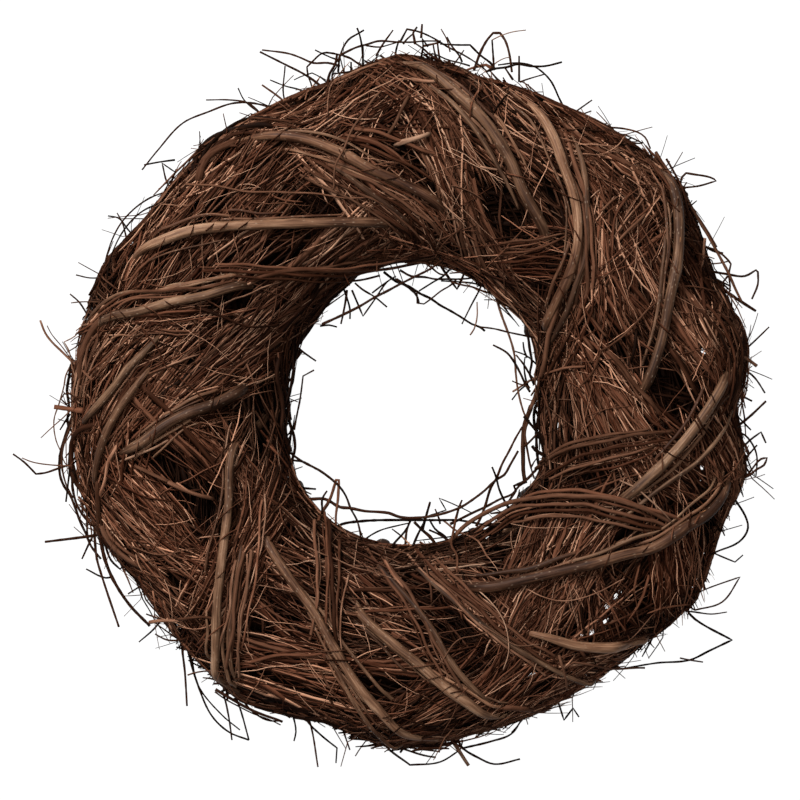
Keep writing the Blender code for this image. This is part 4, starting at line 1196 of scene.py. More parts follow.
def vine_bark():
    """Unpeeled vine: smooth grey-brown bark with lengthwise grain, dark streaks, small
    pale lenticels and a few spots where it is rubbed down to the ochre bast."""
    material, tree, shader = new_material("unpeeled_vine_bark", 0.55, 0.06)
    grain = bark_noise(tree, 24 * MM, 0.8 * MM, 3.0)
    blotch = bark_noise(tree, 16 * MM, 4.0 * MM)
    both = arithmetic(tree, "ADD", grain, blotch)
    spread = arithmetic(tree, "MULTIPLY_ADD", both, 0.8, -0.8)
    tone = arithmetic(tree, "ADD", attribute(tree, "tone"), spread, clamp=True)
    grey = colour_ramp(tree, tone, [
        (0.0, "#150a05"), (0.3, "#2e1e14"), (0.6, "#533d2d"), (1.0, "#836a55")])
    red = colour_ramp(tree, tone, [
        (0.0, "#170904"), (0.3, "#361c10"), (0.6, "#5b3a28"), (1.0, "#856048")])
    bark = mixed(tree, attribute(tree, "warmth"), grey, red)
    cells = add_node(
        tree, "ShaderNodeTexVoronoi",
        {"Vector": bark_grid(tree, 4.2 * MM, 1.9 * MM), "Scale": 1.0})
    dots = add_node(
        tree, "ShaderNodeMapRange",
        {"Value": cells.outputs["Distance"], "From Min": 0.12, "From Max": 0.22,
         "To Min": 0.35, "To Max": 0.0})
    dotted = mixed(tree, dots.outputs["Result"], bark, linear_colour("#7d6a59"))
    rubbed = add_node(
        tree, "ShaderNodeMapRange",
        {"Value": bark_noise(tree, 11 * MM, 3.0 * MM, 4.0), "From Min": 0.70,
         "From Max": 0.76, "To Min": 0.0, "To Max": 0.8})
    finished = mixed(tree, rubbed.outputs["Result"], dotted, linear_colour("#7a5234"))
    tree.links.new(finished, shader.inputs["Base Color"])
    relief = arithmetic(tree, "ADD", grain, dots.outputs["Result"])
    bump = add_node(tree, "ShaderNodeBump", {"Height": relief, "Strength": 0.6,
                                             "Distance": 0.3 * MM})
    tree.links.new(bump.outputs["Normal"], shader.inputs["Normal"])
    return material


def floor_finish():
    """An opal light table, lit from below: an even white ground without a shadow."""
    material, tree, shader = new_material("backlit_opal_acrylic", 0.9, 0.0)
    shader.inputs["Base Color"].default_value = linear_colour("#303030")
    shader.inputs["Emission Color"].default_value = linear_colour("#ffffff")
    shader.inputs["Emission Strength"].default_value = GROUND_GLOW
    return material


def knots_along(length, rng):
    """Where the nodes of a vine are along it, at uneven spacings."""
    spots = np.cumsum(rng.uniform(*KNOT_SPACING, MOST_KNOTS)) * MM
    return spots[spots < length]


def vine_lift(name, radius, over):
    """How far the middle line of a vine lies off the body."""
    lift = radius + (VINE_SEAT if name in BINDING_VINES else SHORT_VINE_SEAT)
    at_back = REST_DROP if name in RESTING_VINES else -BACK_SINK
    lift += at_back * math.exp(-((over - BACK) / REST_SPREAD) ** 2)
    spread = EDGE_SPREAD if over < HOLE_SIDE else BACK_EDGE_SPREAD
    return lift - EDGE_SINK * math.exp(-((over - HOLE_SIDE) / spread) ** 2)


def vine_depth(name, first, over, from_start, from_end):
    """How deep a vine lies at its ends and where it goes under the brushwood."""
    deep, within = END_SINK, END_LENGTH
    if name.startswith("thin"):
        deep, within = THIN_END_SINK, THIN_END_LENGTH
    elif name in SHORT_VINES:
        within = SHORT_END_LENGTH
    sunk = deep * eased(1 - from_start / within)
    sunk += deep * eased(1 - from_end / within)
    sunk += BURIED_DEPTH * eased((HIDDEN_STARTS.get(name, first) - over) / BURIED_RAMP)
    if name in BURIED_VINES:
        under = eased((over - BURIED_VINES[name]) / BURIED_RAMP)
        sunk += BURIED_DEPTH * under * eased((HOLE_SIDE + BURIED_RAMP - over) / BURIED_RAMP)
    return sunk


def vine_tones(name, overs, phase):
    """How light a vine's bark is along it, with painted shade that darkens it towards the hole."""
    outer, front = VINE_TONES.get(name, THIN_VINE_TONES)
    tone = outer + (front - outer) * eased((overs - OUTER_SIDE_UNTIL) / OUTER_SIDE_RAMP)
    tone = tone + TONE_WAVE * np.sin(overs / TONE_WAVE_SIZE + phase)
    tone = tone - FAR_SIDE_PAINTED_SHADE * eased((overs - FAR_SIDE_FROM) / FAR_SIDE_RAMP)
    return tone - IN_HOLE_PAINTED_SHADE * np.exp(-((overs - IN_HOLE) / IN_HOLE_SPREAD) ** 2)


def vine_strand(name, thick, thin, places, rng):
    """A vine that lies on the body, a little uneven, as it grew."""
    first, last = places[0][0], places[-1][0]
    length = abs(last - first) * math.radians(1) * HALF_WIDTH * VINE_SLACK
    count = max(LEAST_VINE_STEPS, round(length / VINE_STEP))
    phases = rng.uniform(0, math.tau, 4)
    knots = knots_along(length, rng)
    points, radii = [], []
    for i in range(count + 1):
        t = i / count
        over = first + (last - first) * t
        so_far = t * length
        radius = (thick + (thin - thick) * t) * MM
        bend = 0
        for size, share, phase in zip(BEND_SIZES, BEND_SHARES, phases[:2]):
            bend += share * math.sin(so_far / size + phase)
        turned = smooth_curve(places, over) + BEND_REACH * bend
        points.append(on_ring(math.radians(turned), math.radians(over),
                              vine_lift(name, radius, over),
                              vine_depth(name, first, over, so_far, length - so_far)))
        swell = 1
        for size, phase in zip(SWELL_SIZES, phases[2:]):
            swell += SWELL_SHARE * math.sin(so_far / size + phase)
        swell += KNOT_SHARE * float(np.exp(-((so_far - knots) / KNOT_LENGTH) ** 2).sum())
        taper = eased(so_far / END_TAPER) * eased((length - so_far) / END_TAPER)
        radii.append(radius * swell * (END_SHARE + (1 - END_SHARE) * taper))
    tones = vine_tones(name, np.linspace(first, last, count + 1), phases[0])
    return Strand(points, radii, tones, rng.uniform(*VINE_WARMTH))


def companion_strands(rng):
    """Thin strands that run a little way beside each vine."""
    strands = []
    for name, (_, _, places) in BINDING_VINES.items():
        first, last = places[0][0], BURIED_VINES[name]
        for _ in range(COMPANIONS):
            radius = rng.uniform(*COMPANION_RADII)
            aside = rng.choice((-1, 1)) * rng.uniform(*COMPANION_ASIDE)
            middle = rng.uniform(first + 20, last - 10)
            half = rng.uniform(*COMPANION_LENGTHS) / 2
            overs = np.linspace(max(middle - half, first + 6), min(middle + half, last + 6),
                                COMPANION_POINTS)
            share = np.linspace(0, 1, COMPANION_POINTS)
            phase = rng.uniform(0, math.tau)
            slope = rng.uniform(-COMPANION_SLOPE, COMPANION_SLOPE)
            ends = eased(share / COMPANION_ENDS) * eased((1 - share) / COMPANION_ENDS)
            points = []
            for over, t, end in zip(overs, share, ends):
                round_there = smooth_curve(places, max(over, first)) + aside
                round_there += slope * (t - 0.5) + COMPANION_BEND * math.sin(9 * t + phase)
                lift = radius * rng.uniform(0.9, 1.1) + COMPANION_SEAT
                lift = (lift - COMPANION_SINK * (1 - end)) * MM
                points.append(on_ring(math.radians(round_there), math.radians(over), lift))
            radii = radius * MM * np.linspace(1.0, 0.75, COMPANION_POINTS)
            strands.append(Strand(points, radii, rng.uniform(0.25, 0.6), rng.uniform(0.1, 0.6)))
    return strands


def arching_twigs(rng):
    """Thin twigs of the brushwood that pass over the vines."""
    strands = []
    for name, (thick, _, places) in BINDING_VINES.items():
        for _ in range(ARCHES):
            over = rng.uniform(places[0][0] + 14, BURIED_VINES[name] - 8)
            near, ahead = (
                to_photo(np.array(on_ring(math.radians(smooth_curve(places, at)),
                                          math.radians(at), thick * MM)))
                for at in (over, over + 2))
            along = math.degrees(math.atan2(near[1] - ahead[1], ahead[0] - near[0]))
            direction = traced_direction(near)[0] + rng.normal(0, ARCH_TURN)
            off = (direction - along + 90) % 180 - 90
            if abs(off) < ARCH_CROSSING:
                direction += math.copysign(ARCH_CROSSING, off)
            way = math.radians(direction)
            length = rng.uniform(*ARCH_LENGTHS)
            shares = np.linspace(-0.5, 0.5, ARCH_POINTS) + rng.uniform(-0.25, 0.25)
            bend = math.radians(rng.normal(0, ARCH_TURN))
            going = way + bend * shares
            line = near + length * np.stack(
                (shares * np.cos(going), -shares * np.sin(going)), axis=-1)
            radius = rng.uniform(*ARCH_RADII)
            top = (2 * thick + radius + ARCH_GAP) * MM
            lift = top * np.exp(-(length * shares / ARCH_SPREAD) ** 2)
            radii = radius * MM * np.linspace(1.0, 0.7, ARCH_POINTS)
            strands.append(Strand(on_front(line, 1.0, lift), radii, rng.uniform(0.15, 0.6),
                                  rng.uniform(0.2, 0.7)))
    return strands


def add_vines(material):
    """The vines, each in place of its plain solid, and the thin strands beside them."""
    rng = np.random.default_rng(SEED)
    beside = strands_object("companion_vines", companion_strands(np.random.default_rng(SEED + 3)),
                            STICK_SIDES, material)
    for name, (thick, thin, places) in {**BINDING_VINES, **SHORT_VINES}.items():
        strand = vine_strand(name, thick, thin, places, rng)
        piece = strands_object("barked_" + name, [strand], VINE_SIDES, material, VINE_RIDGES)
        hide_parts(name)


def laid_spray(strands, middle, heading, rng, count, scales, radii, depth):
    """A spray of near-parallel twigs laid anywhere on the body.

    The middle is a pair of radians round and over, and the heading is the angle from the
    ring's own direction towards the hole.
    """
    breadth = rng.uniform(*LAID_BREADTHS) * MM
    length = rng.uniform(*LAID_LENGTHS) * MM
    fan = math.radians(rng.uniform(-LAID_FAN, LAID_FAN))
    turn = math.radians(rng.uniform(-LAID_BEND, LAID_BEND)) + np.radians(rng.normal(0, 8, count))
    tone = rng.uniform(*LAID_TONES)
    warmth = rng.uniform(*LAID_WARMTHS)
    off = rng.uniform(-0.5, 0.5, count)
    ahead = rng.uniform(-0.25, 0.25, count) * length
    around = np.hypot(HALF_WIDTH * math.sin(middle[1]), HALF_DEPTH * math.cos(middle[1]))
    across = ring_radius(middle[0]) + HALF_WIDTH * math.cos(middle[1])
    turned = middle[0] + (ahead * math.cos(heading) - off * breadth * math.sin(heading)) / across
    over = middle[1] + (ahead * math.sin(heading) + off * breadth * math.cos(heading)) / around
    going = heading + fan * off + np.radians(rng.normal(0, 5, count))
    low = rng.uniform(*scales, count)
    high = np.minimum(low + rng.uniform(0.0, LAID_SLOPE, count), LAID_MOST)
    swap = rng.random(count) < 0.5
    first, last = np.where(swap, high, low), np.where(swap, low, high)
    step = length * rng.uniform(0.6, 1.1, count) / (BACK_POINTS - 1)
    half = BACK_POINTS // 2
    spots = np.empty((count, BACK_POINTS, 2))
    spots[:, half] = np.stack((turned, over), axis=-1)
    for way in (-1, 1):
        a, b, bearing = turned.copy(), over.copy(), going.copy()
        for i in range(1, half + 1):
            bearing += way * turn / (BACK_POINTS - 1) + rng.uniform(-0.05, 0.05, count)
            around = np.hypot(HALF_WIDTH * np.sin(b), HALF_DEPTH * np.cos(b))
            a = a + way * step * np.cos(bearing) / (ring_radius(a) + HALF_WIDTH * np.cos(b))
            b = b + way * step * np.sin(bearing) / around
            spots[:, half + way * i] = np.stack((a, b), axis=-1)
    share = np.linspace(0, 1, BACK_POINTS)
    scale = first[:, None] + (last - first)[:, None] * share
    points = on_body(spots[..., 0], spots[..., 1], scale)
    thick = rng.uniform(*radii, count)[:, None] * np.linspace(1.0, 0.6, BACK_POINTS) * MM
    tones = tone + rng.uniform(-0.25, 0.3, count)
    warmths = warmth + rng.uniform(-0.2, 0.2, count)
    strands += [Strand(*row, depth) for row in zip(points, thick, tones, warmths)]


def in_gap(pixels):
    """Which of these pixels are in one of the dark openings."""
    inside = np.zeros(pixels.shape[:-1], bool)
    for (x, y), long, broad, direction in GAPS.values():
        way = math.radians(direction)
        right, up = pixels[..., 0] - x, y - pixels[..., 1]
        along = (right * math.cos(way) + up * math.sin(way)) / (long * GAP_SHARE)
        aside = (up * math.cos(way) - right * math.sin(way)) / (broad * GAP_SHARE)
        inside |= along * along + aside * aside < 1
    return inside


def side_branches(strands, pixels, scale, rims, thick, tones, warmths, rng):
    """A short thin branch on each of these twigs, which leaves it to one side."""
    every = np.arange(len(pixels))
    at = rng.integers(2, TWIG_POINTS - 2, len(pixels))
    ahead = pixels[every, at + 1] - pixels[every, at]
    sides = rng.choice((-1, 1), len(pixels))
    turned = sides * np.radians(rng.uniform(*BRANCH_ANGLES, len(pixels)))
    going = np.arctan2(-ahead[:, 1], ahead[:, 0]) + turned
    going = going[:, None] - turned[:, None] * np.linspace(0, 0.6, BRANCH_POINTS - 1)
    steps = np.stack((np.cos(going), -np.sin(going)), axis=-1)
    steps *= rng.uniform(*BRANCH_LENGTHS, len(pixels))[:, None, None] / (BRANCH_POINTS - 1)
    line = np.concatenate((np.zeros((len(pixels), 1, 2)), np.cumsum(steps, axis=1)), axis=1)
    raised = scale[every, at][:, None] + np.linspace(0, 0.025, BRANCH_POINTS)
    points = on_front(pixels[every, at][:, None] + line, raised, rim=rims)
    radii = thick[every, at][:, None] * np.linspace(0.55, 0.35, BRANCH_POINTS)
    strands += [Strand(*row) for row in zip(points, radii, tones, warmths)]


def spray_lines(spot, direction, length, breadth, count, fan, spread, rng):
    """The middle of each twig of a spray in pixels, and its line from there."""
    way = math.radians(direction)
    ahead = np.array((math.cos(way), -math.sin(way)))
    aside = np.array((math.sin(way), math.cos(way)))
    together, single = SPRAY_BENDS
    off = rng.uniform(-0.5, 0.5, count)
    slide = rng.normal(0, SPRAY_SLIDE, count) * length
    bend = np.radians(rng.normal(0, together) + rng.normal(0, single, count))
    heading = way - np.radians(fan) * off + np.radians(rng.normal(0, spread, count))
    size = length * rng.uniform(*SPRAY_SIZES, count)
    share = np.linspace(-0.5, 0.5, TWIG_POINTS - 1)
    going = heading[:, None] + bend[:, None] * share
    going += rng.uniform(-SPRAY_UNEVEN, SPRAY_UNEVEN, (count, TWIG_POINTS - 1))
    steps = np.stack((np.cos(going), -np.sin(going)), axis=-1)
    steps *= (size / (TWIG_POINTS - 1))[:, None, None]
    line = np.concatenate((np.zeros((count, 1, 2)), np.cumsum(steps, axis=1)), axis=1)
    line -= line[:, TWIG_POINTS // 2:TWIG_POINTS // 2 + 1]
    return spot + off[:, None] * breadth * aside + slide[:, None] * ahead, line


def kept_clear(middles, line, tips, rng):
    """The pixels of each twig, made shorter until it is clear, and whether it is.

    It is clear where it doesn't cross a dark opening or stand out too far.
    """
    farthest = tips * rng.random(len(line)) ** 2
    crosses_gaps = rng.random(len(line)) < GAP_CROSSERS
    for _ in range(SPRAY_TRIES):
        pixels = middles[:, None] + line
        kept = beyond_body(pixels).max(axis=1) < farthest
        kept &= crosses_gaps | ~in_gap(pixels).any(axis=1)
        line[~kept] *= SPRAY_SHORTER
    return pixels, kept


def front_spray(strands, spot, direction, length, breadth, count, radius, fan, warmth, rng,
                scales=(0.93, 1.0), tone=None, depth=0.0, spread=6.0, tips=13.0, branches=0.0,
                sunk=0.035):
    """A spray of near-parallel twigs on the front, at a pixel of the photograph.

    The tips are how far its twigs may stand out in pixels, sunk is how much lower in scale
    their ends lie, branches is the part of them that has a side branch, and depth is
    how much painted shade darkens their bark.
    """
    tone = rng.uniform(*SPRAY_TONES) if tone is None else tone
    middles, line = spray_lines(spot, direction, length, breadth, count, fan, spread, rng)
    pixels, kept = kept_clear(middles, line, tips, rng)
    first = rng.uniform(*scales, count)
    last = rng.uniform(*scales, count)
    scale = first[:, None] + (last - first)[:, None] * np.linspace(0, 1, TWIG_POINTS)
    arch = np.sqrt(np.sin(np.linspace(0, math.pi, TWIG_POINTS)).clip(0))
    scale += TWIG_ARCH * arch - sunk * (1 - arch)
    rims = rng.uniform(-TWIG_RIM, TWIG_RIM, (count, 1))
    points = on_front(pixels, scale, rim=rims)
    thick = radius * MM * np.exp(rng.normal(*TWIG_RADII, count))
    is_thick = rng.random(count) < THICK_SHARE
    thick = (np.where(is_thick, THICK_TIMES, 1.0) * thick.clip(THINNEST))[:, None]
    thick = thick * np.linspace(1.0, 0.7, TWIG_POINTS) * (0.5 + 0.5 * arch)
    lying = (first + last) / 2 - sum(scales) / 2
    tones = tone - TWIG_DARKER + TWIG_TONES * rng.random(count) ** TWIG_DARK_POWER
    # Painted light: twigs that lie further out are made lighter
    tones = tones + TWIG_PAINTED_LIGHT_OUT * lying
    tones = np.where(is_thick, np.minimum(tones - THICK_DARKER, THICK_LIGHTEST), tones)
    warmths = warmth + rng.uniform(-0.25, 0.25, count)
    # Painted shade: the bark darkens towards the hole's edge, on top of the spray's own painted shade
    _, reach = reach_over(*points[:, TWIG_POINTS // 2, :2].T)
    shade = HOLE_SHADE * eased((-reach / HALF_WIDTH - HOLE_SHADE_FROM) / HOLE_SHADE_RAMP)
    painted_shades = 1 - (1 - depth) * (1 - shade)
    for i in np.flatnonzero(kept):
        strands.append(Strand(points[i], thick[i], tones[i], warmths[i], painted_shades[i]))
    grown = kept & (rng.random(count) < branches)
    side_branches(strands, pixels[grown], scale[grown], rims[grown], thick[grown],
                  tones[grown], warmths[grown], rng)


def traced_direction(spot):
    """The way that the nearest traced spray runs, and how warm it is."""
    best = min(SPRAYS.values(), key=lambda spray: math.dist(spot, spray[0]) / spray[2])
    return best[1], best[7]


def anywhere_on_front(rng):
    """A pixel anywhere on the front of the body."""
    while True:
        spot = rng.uniform(0, PHOTO_SIZE, 2)
        if beyond_body(spot) < 0:
            return spot


def laid_layer(rng, sprays, count, scales, radii, depth, on_the_front, overs):
    """One layer of brushwood, in sprays all round."""
    strands = []
    for index in range(BUNDLES * sprays):
        turned = math.tau * (index + rng.uniform(-0.5, 0.5)) / (BUNDLES * sprays)
        over = math.radians(rng.uniform(*overs))
        heading = math.radians(rng.normal(*LAYER_HEADING))
        if on_the_front or math.sin(over) < FRONT_STARTS:
            laid_spray(strands, (turned, over), heading, rng, count, scales, radii, depth)
    return strands


def layered_twigs(rng):
    """The brushwood of the whole body, from deep to outer, and the sprays of the front."""
    strands = []
    for layer in LAYERS.values():
        strands += laid_layer(rng, *layer)
    # Sprays under the traced ones: dark bark, darkened further by painted shade
    for _ in range(UNDER_SPRAYS):
        spot = anywhere_on_front(rng)
        direction, warmth = traced_direction(spot)
        front_spray(strands, spot, direction + rng.normal(0, 14), rng.uniform(70, 130),
                    rng.uniform(20, 44), UNDER_COUNT, 1.0, rng.normal(0, 10), warmth, rng,
                    scales=(0.85, 0.94), tone=rng.uniform(0.0, 0.2), depth=0.6)
    for spot, direction, length, breadth, count, radius, fan, warmth in SPRAYS.values():
        front_spray(strands, spot, direction, length, breadth, round(count * SPRAY_SHARE),
                    radius, fan, warmth, rng, branches=BRANCH_SHARE)
    for _ in range(HAIRS):
        spot = anywhere_on_front(rng)
        direction, warmth = traced_direction(spot)
        front_spray(strands, spot, direction + rng.normal(0, 34), rng.uniform(20, 75), 1, 1,
                    0.45, 0.0, warmth, rng, scales=(0.99, 1.02), tone=rng.uniform(0.25, 0.85),
                    sunk=0.0)
    cover_ends(strands, rng)
    return strands


def cover_ends(strands, rng):
    """Twigs over the places where the vines come out of the brushwood and go under it."""
    for name, (thick, _, places) in {**BINDING_VINES, **SHORT_VINES}.items():
        under = BURIED_VINES.get(name, places[-1][0] - COVER_REACH)
        ends = [places[0][0] + COVER_REACH, under + COVER_REACH]
        for over in ends:
            turned = math.radians(smooth_curve(places, over))
            spot = to_photo(np.array(on_ring(turned, math.radians(over), thick * MM)))
            direction, warmth = traced_direction(spot)
            front_spray(strands, spot, direction + rng.normal(0, 12), 44, 26, COVER_TWIGS,
                        0.7, 10.0, warmth, rng, scales=(0.985, 1.03), sunk=0.06)


def core_twigs(rng):
    """Thick sticks in the middle of each bundle, under the brushwood, made near black all over by full
    painted shade.
    """
    strands = []
    long = math.tau / BUNDLES * CORE_OVERLAP
    for index in range(BUNDLES):
        for k in range(CORE_STRANDS):
            over = math.tau * k / CORE_STRANDS
            scale = rng.uniform(*CORE_SCALES)
            centre = math.tau * index / BUNDLES + BUNDLE_SLANT * scale * math.cos(over)
            turned = centre + long * np.linspace(-0.5, 0.5, BACK_POINTS)
            lean = over + rng.normal(0, 0.2) * np.linspace(-1, 1, BACK_POINTS)
            lean = lean + np.cumsum(rng.normal(0, 0.03, BACK_POINTS))
            radii = CORE_RADIUS * rng.uniform(0.6, 1.1, BACK_POINTS)
            # Full painted shade: the core shows only as near-black shade between the twigs
            strands.append(Strand(on_body(turned, lean, scale), radii, 0.0, 0.3, 1.0))
    return strands


def bundle_of(strand):
    """Which bundle of the body a strand belongs to."""
    x, y, _ = strand.points[len(strand.points) // 2]
    turned, reach = reach_over(x, y)
    own = turned - BUNDLE_SLANT * reach / HALF_WIDTH
    return round(own / (math.tau / BUNDLES)) % BUNDLES


def beside_channels(strand):
    """Bends the strand sideways round the channels. Returns whether it is clear of them."""
    spots = np.array([spot for spot, _ in CHANNELS], float)
    sizes = np.array([size for _, size in CHANNELS])
    if strand.radii.max() < CHANNEL_CROSSING:
        return True
    for turn in range(CHANNEL_TRIES):
        if turn in CHANNEL_THINNED:
            strand.radii = strand.radii * CHANNEL_THINNER
        pixels = to_photo(strand.points)
        starts, steps = pixels[:-1, None], np.diff(pixels, axis=0)[:, None]
        share = ((spots - starts) * steps).sum(axis=-1) / (steps * steps).sum(axis=-1)
        nearest = starts + steps * share.clip(0, 1)[..., None]
        away = nearest - spots
        gaps = np.linalg.norm(away, axis=-1) - strand.radii.max() / PIXEL - sizes
        if (gaps > 0).all():
            return True
        at = np.unravel_index(gaps.argmin(), gaps.shape)
        move = away[at] / np.linalg.norm(away[at]) * (CHANNEL_SPARE - gaps[at]) * PIXEL
        near = np.exp(-(np.linalg.norm(pixels - nearest[at], axis=-1) / CHANNEL_SPREAD) ** 2)
        there = share[at].clip(0, 1)
        near /= max(near[at[0]] * (1 - there) + near[at[0] + 1] * there, 0.3)
        strand.points += near[:, None] * (move[0], -move[1], 0.0)
    return False


def add_brushwood(material):
    """The bundles of brushwood, each in place of its coarser solid."""
    rng = np.random.default_rng(SEED + 1)
    bundles = [[] for _ in range(BUNDLES)]
    strands = core_twigs(rng) + layered_twigs(rng) + loose_tips(rng) + arching_twigs(rng)
    strands += laid_layer(np.random.default_rng(SEED + 4), *BACK_LAYER)
    for strand in strands:
        if beside_channels(strand):
            bundles[bundle_of(strand)].append(strand)
    for index, own in enumerate(bundles):
        piece = strands_object(f"brushwood_{index + 1:02d}", own, TWIG_SIDES, material)
        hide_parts(f"twig_bundle_{index + 1:02d}")


def loose_tips(rng):
    """Short bent tips that stand out from the body all round, besides the traced ones."""
    strands = []
    for side, spread, count in LOOSE_TIPS:
        for _ in range(count):
            turned = rng.uniform(0, math.tau)
            over = math.radians(side + rng.uniform(-spread, spread))
            length = rng.uniform(*TIP_LENGTHS) * MM
            tilt = rng.uniform(*TIP_ANGLES)
            way = rng.choice((-1, 1))
            kink = rng.uniform(-TIP_KINK, TIP_KINK)
            points = []
            out, along, bearing = TIP_START, turned, tilt
            for i in range(BACK_POINTS):
                points.append(on_body(along, over, out))
                if i == BACK_POINTS // 2:
                    bearing += kink
                step = length / (BACK_POINTS - 1)
                out += step * math.sin(bearing) / HALF_WIDTH
                along += way * step * math.cos(bearing) / (RING_RADIUS + HALF_WIDTH)
            radii = rng.uniform(*TIP_RADII) * np.linspace(1.0, 0.6, BACK_POINTS) * MM
            strands.append(Strand(points, radii, rng.uniform(0.1, 0.5), rng.uniform(0.1, 0.6)))
    return strands


def drawn_line(places, step=4.0, sharp=0.7):
    """Pixels along a line drawn through the places, sharp only where it turns sharply."""
    spots = np.asarray(places, float)
    legs = np.diff(spots, axis=0)
    sizes = np.linalg.norm(legs, axis=1)
    ways = legs / sizes[:, None]
    found = [spots[0]]
    for i, (leg, size) in enumerate(zip(legs, sizes)):
        sides = [ways[i], ways[i]]
        for end, other in ((0, i - 1), (1, i + 1)):
            if 0 <= other < len(ways) and ways[i] @ ways[other] > math.cos(sharp):
                middle = ways[i] + ways[other]
                sides[end] = middle / np.linalg.norm(middle)
        count = max(1, round(size / step))
        for k in range(1, count + 1):
            t = k / count
            curve = spots[i] + leg * t * t * (3 - 2 * t)
            curve = curve + sides[0] * size * t * (1 - t) ** 2
            curve = curve + sides[1] * size * t * t * (t - 1)
            found.append(curve)
    return np.array(found)


def look_of(rng, name="dark"):
    """The tone and the warmth of one strand with this look, as no two are alike."""
    tone, warmth = LOOKS[name]
    return tone + rng.uniform(-0.2, 0.14), warmth + rng.uniform(-0.2, 0.1)


def wavy(pixels, rng):
    """The line with small uneven bends, as wood has them."""
    along = np.arange(len(pixels))
    wave = 1.3 * np.sin(along / rng.uniform(3, 6) + rng.uniform(0, math.tau))
    wave += 0.5 * np.sin(along / rng.uniform(1.4, 2.2) + rng.uniform(0, math.tau))
    ahead = np.gradient(pixels, axis=0)
    aside = np.stack((-ahead[:, 1], ahead[:, 0]), axis=-1)
    return pixels + aside / np.linalg.norm(ahead, axis=1)[:, None] * wave[:, None]


def evened_out(points, pixels):
    """The stick's points, still at these pixels, with no sudden change of height at a rim."""
    height = points[:, 2]
    padded = np.pad(height, EVENED_POINTS // 2, mode="edge")
    even = np.convolve(padded, np.full(EVENED_POINTS, 1 / EVENED_POINTS), mode="valid")
    height = height + (even - height) * eased(1 + beyond_body(pixels) / EVENED_FROM)
    return np.stack((*from_photo(pixels, height), height), axis=-1)


def strands_beside(rng):
    """Thin strands that run beside the longer drawn sticks, as more of them."""
    found = []
    for radius, look, lift, places in STICKS:
        spots = np.asarray(places, float)
        if radius < THIN_STICK or np.linalg.norm(spots[-1] - spots[0]) < SHORT_STICK:
            continue
        ahead = np.gradient(spots, axis=0)
        aside = np.stack((-ahead[:, 1], ahead[:, 0]), axis=-1)
        aside /= np.linalg.norm(aside, axis=1)[:, None]
        for _ in range(BESIDE_STICKS):
            off = rng.choice((-1, 1)) * rng.uniform(*BESIDE_PIXELS, (len(spots), 1))
            slope = rng.uniform(-BESIDE_SLOPE, BESIDE_SLOPE)
            off += np.linspace(-1, 1, len(spots))[:, None] * slope
            thin = radius * rng.uniform(*BESIDE_SHARES)
            line = spots + aside * off
            middle = line.mean(axis=0)
            line = middle + (line - middle) * rng.uniform(*BESIDE_LENGTHS)
            found.append((thin, look, max(lift - BESIDE_LOWER, 0), line))
    return found


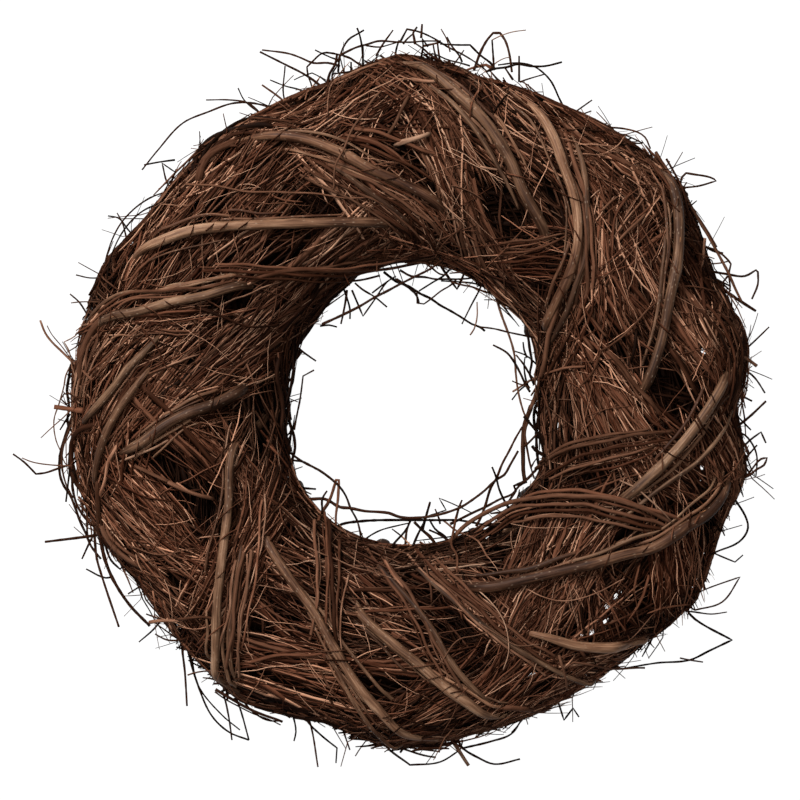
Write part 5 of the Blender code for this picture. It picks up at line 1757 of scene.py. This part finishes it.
def add_sticks(material):
    """The single sticks on the body, and its tips and loops that stand out."""
    rng = np.random.default_rng(SEED + 2)
    sticks = []
    for radius, look, lift, places in STICKS + strands_beside(rng):
        radius *= STICK_SHARE
        pixels = wavy(drawn_line(places), rng)
        ends = eased(np.linspace(0, 5, len(pixels))) * eased(np.linspace(5, 0, len(pixels)))
        raised = (lift + radius) * MM - (1 - ends) * STICK_END_SINK * radius * MM
        points = on_front(pixels, 1.0, raised, rng.uniform(-STICK_RIM, STICK_RIM))
        points = evened_out(points, pixels)
        radii = radius * MM * np.linspace(1.0, 0.8, len(pixels))
        radii = radii * rng.uniform(0.94, 1.06, len(pixels))
        sticks.append(Strand(points, radii, *look_of(rng, look)))
    strays = []
    # Most standing tips take the dark look: painted shade for thin tips seen against the bright ground
    for radius, *look, places in STRAYS:
        pixels = drawn_line(places)
        points = on_front(pixels, STRAY_SCALE, rim=rng.uniform(-STRAY_RIM, STRAY_RIM))
        rise = rng.uniform(*STRAY_RISES)
        beyond = np.maximum(beyond_body(pixels), 0) * PIXEL
        height = points[:, 2] + np.clip(rise * beyond, -STRAY_RISE_MOST, STRAY_RISE_MOST)
        x, y = from_photo(pixels, height)
        radii = STRAY_SHARE * radius * MM * np.linspace(1.0, 0.72, len(pixels))
        radii = radii * rng.uniform(0.88, 1.12, len(pixels))
        strays.append(Strand(np.stack((x, y, height), axis=-1), radii, *look_of(rng, *look)))
    for name, strands, sides in (("single_sticks", sticks, STICK_SIDES),
                                 ("standing_tips", strays, STRAY_SIDES)):
        strands_object(name, strands, sides, material)


def add_floor():
    work = bmesh.new()
    bmesh.ops.create_grid(work, x_segments=1, y_segments=1, size=GROUND_SIZE)
    mesh = bpy.data.meshes.new("floor")
    work.to_mesh(mesh)
    work.free()
    mesh.materials.append(floor_finish())
    floor = bpy.data.objects.new("floor", mesh)
    bpy.context.scene.collection.objects.link(floor)


def add_softbox(name, place, size, power):
    """A square soft light that faces the wreath."""
    light = bpy.data.lights.new(name, "AREA")
    light.shape = "SQUARE"
    light.size = size
    light.energy = power
    lamp = bpy.data.objects.new(name, light)
    lamp.location = place
    lamp.rotation_euler = (-Vector(place)).to_track_quat("-Z", "Y").to_euler()
    bpy.context.scene.collection.objects.link(lamp)


def add_light():
    """Plain soft studio light: one large softbox overhead, one to the upper left."""
    world = bpy.data.worlds.new("studio")
    world.use_nodes = True
    backdrop = world.node_tree.nodes["Background"]
    backdrop.inputs["Color"].default_value = (1.0, 1.0, 1.0, 1.0)
    backdrop.inputs["Strength"].default_value = AIR_GLOW
    bpy.context.scene.world = world
    for name, (place, size, power) in SOFTBOXES.items():
        add_softbox(name, place, size, power)


def add_camera():
    """Straight above, on a long lens, framed as the photograph is."""
    lens = bpy.data.cameras.new("camera")
    lens.lens = LENS
    lens.sensor_width = SENSOR
    lens.clip_end = CAMERA_REACH
    camera = bpy.data.objects.new("camera", lens)
    camera.location = (CAMERA_X, CAMERA_Y, CENTRE_HEIGHT + CAMERA_RISE)
    bpy.context.scene.collection.objects.link(camera)
    bpy.context.scene.camera = camera
    bpy.context.scene.view_settings.view_transform = "Standard"


add_camera()
add_light()
add_floor()
add_vines(vine_bark())
bark = twig_bark()
add_brushwood(bark)
add_sticks(bark)
